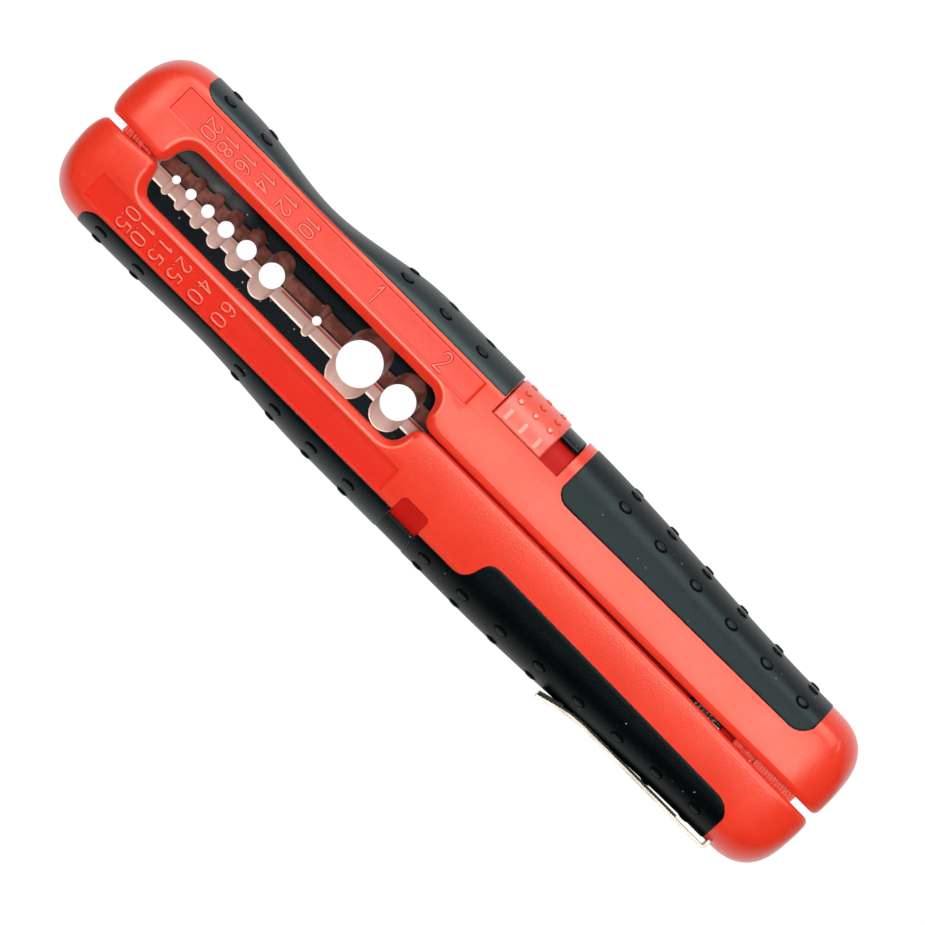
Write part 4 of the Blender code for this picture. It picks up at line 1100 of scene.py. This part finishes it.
# Name, finish, slot, blocks as two corners, rows of ribs: along, along, across, low, high
SLIT_PARTS = (
    ("hinge_comb", RED_SLIDE, "red_housing",
     ((107.9, -0.352, 7, 109.6, 0.9, 17.1), (109.62, -0.375, 7, 111.4, 0.9, 17.1)),
     ((107.9, 111.4, -0.34, 16.8, 17.5), (111.4, 118.2, -0.60, 17.2, 17.9))),
    ("guide_tongue", RED_SLIDE, "red_housing",
     ((0.4, -1.4, 8.1, 5.05, 1.4, 10.9), (0.4, -0.44, 10.8, 1.8, 1.4, 17.3),
      (1.82, -0.30, 10.8, 3.6, 1.4, 17.3), (3.62, -0.20, 10.8, 5.05, 1.4, 17.3),
      (5.07, -0.19, 4.0, 6.33, 0.9, 16.0)),
     ((0.4, 1.8, -0.44, 17.0, 17.8), (1.85, 3.6, -0.30, 17.0, 17.8))),
    # The lip deep in the slit takes the red painted in shade.
    ("slit_lip", RED_PAINTED_SHADE, "red_housing",
     ((54.0, -0.8, 3.4, 100.3, 0.8, 15.2), (56.6, -0.12, 15.0, 77.0, 0.5, 17.0),
      (105.9, -0.9, 7.6, 111.2, 0.9, 8.3), (105.8, -0.32, 6.4, 107.9, 0.9, 15.5)), ()),
    # The shelf under the coil is near-black, painted as the shade deep in the slit.
    ("spring_shelf", BLACK_PAINTED_SHADE, "black_carrier",
     ((100.32, -0.235, 2.6, 103, 0.9, 7.3), (103.02, -0.30, 2.6, 105.78, 0.9, 7.3)), ()))
for name, coat, slot_name, blocks, rows in SLIT_PARTS:
    blocks = [(at(*corners[:3]), at(*corners[3:])) for corners in blocks]
    settle(block_piece(name, blocks, coat, rows), "lock_half", slot_name)
print("lip and guides are in")

# %% Opening spring
def wire(name, points, radius, coat, resolution=3):
    """A round wire along points, from a curve with a bevel, kept as a mesh."""
    curve = bpy.data.curves.new(name, "CURVE")
    curve.dimensions, curve.bevel_depth, curve.bevel_resolution = "3D", radius, resolution
    curve.use_fill_caps = True
    spline = curve.splines.new("POLY")
    spline.points.add(len(points) - 1)
    for point, place in zip(spline.points, points):
        point.co = (*place, 1)
    holder = add_object(name + "_line", curve)
    graph = bpy.context.evaluated_depsgraph_get()
    bm = bmesh.new()
    bm.from_mesh(bpy.data.meshes.new_from_object(holder.evaluated_get(graph)))
    bpy.data.objects.remove(holder)
    return to_object(bm, name, coat, 60)


COIL_TURNS, COIL_STEPS, COIL_PITCH, COIL_RADIUS, COIL_WIRE = 6, 32, 0.00063, 0.0016, 0.00023
coil = []
for step in range(COIL_TURNS * COIL_STEPS + 1):
    turns = step / COIL_STEPS
    angle = 2 * math.pi * turns + math.pi
    coil.append((at(104.85).x - (COIL_TURNS - turns) * COIL_PITCH, COIL_RADIUS * math.sin(angle),
                 MID + COIL_RADIUS * math.cos(angle)))
coil.append((at(108.4).x, 0.0, MID - COIL_RADIUS))
settle(wire("spring_coil", coil, COIL_WIRE, SPRING_STEEL), "lock_half", "plain_steel", "opening_spring")
print("spring with", len(coil), "points")

# %% [markdown]
# ## The belt clip
#
# The clip is a strip of spring steel, folded at its root and flared at its tip. A strip like
# this is best drawn as one line of edges, extruded to its width and given its thickness. Two
# thin black layers inside it paint the shadow on its inner face, and that dark line shows
# between the bright edge and the grip.

# %% Belt clip
CLIP_LOW, CLIP_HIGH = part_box("belt_clip")
CLIP_FOLD, CLIP_FLARE = 0.0006, 0.0025


def clip_line():
    """The strip's outer line, from its flared tip along the grip to the fold at its root."""
    root = CLIP_HIGH.x - 0.0002
    side = -CLIP_LOW.y - 0.0012 - 0.00021
    knee = root - 0.0220
    keys = [(knee - 0.0063, side + 0.00138), (knee - 0.0045, side + 0.0009),
            (knee - 0.0022, side + 0.00032), (knee, side + 0.00003), (knee + CLIP_FLARE, side)]
    line = [tuple(point) for point in through(keys, 6)]
    line += [(x, side) for x in inner(knee + CLIP_FLARE, root - CLIP_FOLD, 16) + [root - CLIP_FOLD]]
    for angle in inner(0, QUARTER, 8) + [QUARTER]:
        line.append((root - CLIP_FOLD * (1 - math.sin(angle)),
                     side - CLIP_FOLD * (1 - math.cos(angle))))
    return line + [(root, side - 0.0030)]


# Name, finish, slot, how far inside the outer line, where it ends, half its width, its thickness
for name, coat, slot_name, inwards, last, half_width, thickness, nodes in (
        ("clip_strip", CLIP_STEEL, "clip_steel", 0.0, CLIP_HIGH.x, 0.0040, 0.0004, ["belt_clip"]),
        # The two black layers are a painted shadow along the clip's inner face.
        ("clip_painted_shadow_1", GLOSS_BLACK_AND_SHADOW, "dark_spring_steel", 0.00041, at(110.8).x, 0.0039,
         0.00028, []),
        ("clip_painted_shadow_2", GLOSS_BLACK_AND_SHADOW, "dark_spring_steel", 0.00067, at(90.0).x, 0.0039,
         0.00028, [])):
    line = [(x, y - inwards) for x, y in clip_line() if x < last]
    heights = (-half_width, 0.0003 - half_width, 0.0, half_width - 0.0003, half_width)
    bm = bmesh.new()
    push_ring(bm, [[(x, -y, MID + z) for x, y in line] for z in heights], False)
    bmesh.ops.recalc_face_normals(bm, faces=bm.faces)
    bmesh.ops.solidify(bm, geom=bm.faces, thickness=thickness)
    settle(to_object(bm, name, coat, 40), "clip_half", slot_name, *nodes)
print("clip layers have", len(heights), "rows of vertices")

# %% [markdown]
# ## The lock slide
#
# A thin moulded cap wraps round the side and slides in a slot. Its marks are raised: short bars
# on the face and small rounds on the side. The bars and the first row of rounds are painted pale
# as highlights, and each round stands over a ring of painted shadow. Pushed back, its hook
# reaches under the catch pin.

# %% Lock slide
SLIDE_LIFT = ((0.0, -0.00035), (0.00004, -0.00012), (0.00010, -0.00005), (0.00018, -0.00002),
              (0.0003, 0.0))
STRIP_LIFT = ((0.0, -0.0009), (0.00005, -0.0006), (0.00015, -0.00042), (0.0003, -0.00036))
FIELD_LIFT = ((0.0, -0.0004), (0.00003, -0.0001), (0.00006, 0.00001), (0.0002, 0.00002))


def crisp_patch(name, half, first, last, edge, count, coat, profile):
    """A patch with a straight edge line and crisp ends, between two places in millimetres."""
    edge_line = patch_columns(at(first).x, at(last).x, lambda x: edge, SLIDE_LIFT, 0.0005)
    return patch(name, half, edge_line, count, coat, profile, 0.0003)


settle(crisp_patch("slide_cap", LOCK, 57.85, 65.95, 0.00752, 44, RED_SLIDE, SLIDE_LIFT),
       "lock", "red_slide", "lock_slide")
print("slide is on")

# %% Marks of the slide
# Each row of the profiles: size of the ring, as a share, and its height
ROUND_MARK = ((1.20, -0.0001), (1.16, 0.00002), (0.96, 0.00003), (0.90, 0.00014), (0.78, 0.00019),
              (0.4, 0.0002))
BAR_MARK = ((1.0, -0.0001), (1.0, 0.00010), (0.9, 0.00018), (0.6, 0.00020))
# Each row: distance from the slit, length and width in millimetres, and the number of its finish
ROUNDS = ((10.93, 0.78, 0.72, 0), (12.32, 0.92, 0.80, 2), (13.36, 0.92, 0.80, 2))
bm = bmesh.new()
for x in (at(column).x for column in (59.36, 61.92, 64.42)):
    for side in (1, -1):
        for across, length, width, top in ROUNDS:
            here = skin_frame(LOCK, x, side * skin_height(LOCK, x, across * 0.001), 0.0)
            plug(bm, here, length * 0.001, width * 0.001, ROUND_MARK, 2, top)
        for y in (0.00810, 0.00840, 0.00870, 0.00900, 0.00930):
            here = Matrix.Translation((x, y, MID + side * skin_height(LOCK, x, y)))
            here = here @ Matrix.Rotation(math.pi if side < 0 else 0, 4, "X")
            plug(bm, here, 0.00076, 0.00044, BAR_MARK)
marks = to_object(bm, "slide_marks", MARKS_PAINTED_HIGHLIGHT, 50)
# The second finish paints a shadow round the foot of each round, the third is the slide's own red.
for coat in (RED_PAINTED_SHADE, RED_SLIDE):
    marks.data.materials.append(coat)
settle(marks, "lock", "red_slide")
print("marks have", len(marks.data.polygons), "faces")

# %% Strip, sunk field and hook
settle(crisp_patch("catch_strip", LOCK, 57.3, 69.05, 0.0119, 24, GLOSS_BLACK_AND_SHADOW, STRIP_LIFT),
       "lock_half", "dark_spring_steel", "lock_detent_spring")
settle(crisp_patch("catch_field", CLIP, 56.9, 62.35, 0.0107, 24, RUBBER_DEEP, FIELD_LIFT),
       "clip_half", "dark_spring_steel")
hook_low, hook_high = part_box("lock_hook")
stem = ((hook_low.x, -0.0040, hook_low.z), (hook_low.x + 0.0026, hook_high.y, hook_high.z))
toe = ((hook_low.x + 0.0020, -0.0040, hook_low.z), (hook_high.x, -0.0029, hook_high.z))
settle(block_piece("hook_arm", [stem, toe], PLAIN_STEEL), "lock", "plain_steel", "lock_hook")
print("strip, field and hook are on")

# %% [markdown]
# ## Raised numbers in the panels
#
# Plain wire sizes stand in the two panels, raised by a tenth of a millimetre and turned so that
# they read across the tool. A typeface would be too regular, so each figure is drawn as a few
# round strokes. A wider stroke under each one, in the red painted in shade, paints a thin shadow
# along its sides.

# %% Numbers
# Strokes of each figure on a field one wide and 1.6 high; a figure may have several strokes
FIGURES = {
    "0": [[(0.5, 1.6), (0.12, 1.42), (0, 0.8), (0.12, 0.18), (0.5, 0), (0.88, 0.18), (1, 0.8),
           (0.88, 1.42), (0.5, 1.6)]],
    "1": [[(0.2, 1.25), (0.38, 1.4), (0.55, 1.6), (0.55, 0.8), (0.55, 0)]],
    "2": [[(0.04, 1.2), (0.2, 1.5), (0.55, 1.6), (0.9, 1.4), (0.92, 1.05), (0.62, 0.66), (0, 0)],
          [(0, 0), (0.5, 0), (1, 0)]],
    "4": [[(0.72, 0), (0.72, 0.8), (0.72, 1.6)], [(0.72, 1.6), (0.36, 1.0), (0, 0.42)],
          [(0, 0.42), (0.5, 0.42), (1, 0.42)]],
    "5": [[(0.92, 1.6), (0.5, 1.6), (0.14, 1.6)], [(0.14, 1.6), (0.1, 1.25), (0.06, 0.9)],
          [(0.06, 0.9), (0.5, 1.02), (0.92, 0.78), (0.94, 0.28), (0.5, 0), (0.04, 0.2)]],
    "6": [[(0.9, 1.4), (0.55, 1.6), (0.16, 1.3), (0.02, 0.7), (0.14, 0.16), (0.5, 0), (0.88, 0.16),
           (0.96, 0.5), (0.8, 0.84), (0.46, 0.94), (0.06, 0.62)]],
    "8": [[(0.5, 0.86), (0.12, 1.04), (0.12, 1.42), (0.5, 1.6), (0.88, 1.42), (0.88, 1.04),
           (0.5, 0.86), (0.04, 0.62), (0.04, 0.2), (0.5, 0), (0.96, 0.2), (0.96, 0.62), (0.5, 0.86)]],
    ".": [[(0.1, 0.0), (0.14, 0.02), (0.18, 0.0)]]}
FIELD_HEIGHT, FIGURE_GAP, NARROW = 1.6, 0.24, 0.78
# Radius, rise and number of the finish: the stroke, and the wider one under it that paints a shadow
STROKES = ((0.00015, 0.00006, 0), (0.00030, -0.00021, 1))


def figures(bm, half, label, centre, size, turn):
    """One number as raised round strokes; size is its height, turn its direction of reading."""
    scale = size / FIELD_HEIGHT
    widths = [0.28 if figure == "." else 1.0 for figure in label]
    start = -(sum(widths) + FIGURE_GAP * (len(label) - 1)) / 2
    turned = Matrix.Rotation(turn, 4, "Z")
    for figure, width in zip(label, widths):
        for stroke in FIGURES[figure]:
            path = []
            for point in through([(x, y, 0) for x, y in stroke], 5):
                place = turned @ Vector((NARROW * (start + point.x) * scale,
                                         (point.y - FIELD_HEIGHT / 2) * scale, 0))
                x, y = centre.x + place.x, centre.y + place.y
                path.append((x, y, MID + skin_height(half, x, abs(y)) - PANEL_DEPTH))
            for radius, rise, index in STROKES:
                piece = wire("stroke", [(x, y, z + rise) for x, y, z in path], radius, None, 2)
                for face in piece.data.polygons:
                    face.material_index = index
                bm.from_mesh(piece.data)
                bpy.data.objects.remove(piece)
        start += width + FIGURE_GAP


def small(across, labels):
    """Rows of a label, its place along and across in millimetres, its height and its turn."""
    return [(label, along, across, 0.0021, -QUARTER) for label, along in labels]


LOCK_LABELS = small(7.55, (("20", 8.25), ("18", 11.2), ("16", 14.3), ("14", 17.6), ("12", 21.5),
                           ("10", 25.5)))
LOCK_LABELS += [("1", 37.2, 7.6, 0.0026, 0.0), ("2", 49.0, 7.6, 0.0026, 0.0)]
CLIP_LABELS = small(-7.7, (("0.5", 8.8), ("1.0", 11.4), ("1.5", 14.5), ("2.5", 17.8), ("4.0", 21.5),
                           ("6.0", 25.6)))
for name, half, labels in (("numbers_lock", LOCK, LOCK_LABELS), ("numbers_clip", CLIP, CLIP_LABELS)):
    bm = bmesh.new()
    for label, along, across, size, turn in labels:
        figures(bm, half, label, at(along, across), size, turn)
    piece = to_object(bm, name, RED_MARKS, 60)
    piece.data.materials.append(RED_PAINTED_SHADE)
    settle(piece, half.body, "red_housing")
print("numbers are raised")

# %% [markdown]
# ## Camera, light and floor
#
# A long lens looks straight down on the front face, rolled so that the tool lies from the upper
# left to the lower right. Two broad lamps stand over it and on the side of the slide, and four
# more put gloss on the slopes and the jaw end, and open up what faces away.

# %% Camera
FRAME_WIDTH, LENS, SENSOR, ROLL = 0.1156, 500.0, 36.0, math.radians(45.17)
CENTRE = (0.00017, 0.00044)
camera_data = bpy.data.cameras.new("camera")
camera_data.lens, camera_data.sensor_width = LENS, SENSOR
camera_data.clip_start, camera_data.clip_end = 0.01, 20.0
camera = add_object("camera", camera_data)
bpy.context.scene.camera = camera
distance = FRAME_WIDTH * LENS / SENSOR
camera.matrix_world = (Matrix.Translation((*CENTRE, MID + distance))
                       @ Matrix.Rotation(ROLL, 4, "Z"))
print("camera", round(distance, 3), "m over the middle of the tool")

# %% Lamps
# Name, place, target along, size, power, and what the lamp leaves out: a gloss-only lamp has no
# diffuse light and works on the slopes, a lamp without gloss opens up what faces away
for name, place, along, size, power, without in (
        ("top lamp", (0.09, 0.13, 0.90), 0, 0.20, 4.4, None),
        ("side lamp", (-0.05, 0.75, 0.50), 0, 0.55, 3.6, None),
        ("edge lamp", (-0.02, 0.74, 0.54), 0, 0.90, 13.5, "visible_diffuse"),
        ("nose lamp", (-0.42, 0.20, 0.85), 0, 0.30, 4.0, "visible_diffuse"),
        ("low fill", (-0.10, -0.60, 0.50), 0, 0.50, 2.7, "visible_glossy"),
        ("slit lamp", (0.02, 0.0, 1.1), 0.02, 0.10, 0.7, "visible_glossy")):
    light = bpy.data.lights.new(name, "AREA")
    light.shape, light.size, light.energy = "SQUARE", size, power
    holder = add_object(name, light)
    aim = (Vector((along, 0, 0.01)) - Vector(place)).to_track_quat("-Z", "Y")
    holder.matrix_world = Matrix.Translation(place) @ aim.to_matrix().to_4x4()
    if without:
        setattr(holder, without, False)
print(len(bpy.data.lights), "lamps")

# %% World and floor
WORLD_DIM, WORLD_BRIGHT, FLOOR_GLOW, FLOOR_SHARE, FLOOR_SIZE = 0.16, 1.0, 1.03, 0.96, 3.0
world = bpy.data.worlds.new("studio")
bpy.context.scene.world = world
world.use_nodes = True
nodes = Nodes(world.node_tree)
seen = nodes.add("ShaderNodeLightPath")
bright = nodes.math("MAXIMUM", seen["Is Camera Ray"], seen["Is Transmission Ray"])
nodes.feed(world.node_tree.nodes["Background"].inputs["Strength"],
           nodes.band(bright, 0.0, 1.0, WORLD_DIM, WORLD_BRIGHT))

bm = bmesh.new()
bmesh.ops.create_grid(bm, x_segments=1, y_segments=1, size=FLOOR_SIZE)
floor = to_object(bm, "floor")
pale, matt, nodes = finish("pale floor", 0.9)
nodes.feed(matt["Base Color"], (0.85, 0.85, 0.85))
seen = nodes.add("ShaderNodeLightPath")
share = nodes.math("MAXIMUM", seen["Is Camera Ray"], seen["Is Glossy Ray"])
glow = nodes.add("ShaderNodeEmission", {"Strength": FLOOR_GLOW})[0]
blend = nodes.add("ShaderNodeMixShader", {
    0: nodes.math("MULTIPLY", share, FLOOR_SHARE),
    1: pale.node_tree.nodes["Principled BSDF"].outputs[0], 2: glow})[0]
nodes.feed(pale.node_tree.nodes["Material Output"].inputs["Surface"], blend)
floor.data.materials.append(pale)

bpy.context.scene.view_settings.view_transform = "Standard"
print("world and floor are set")
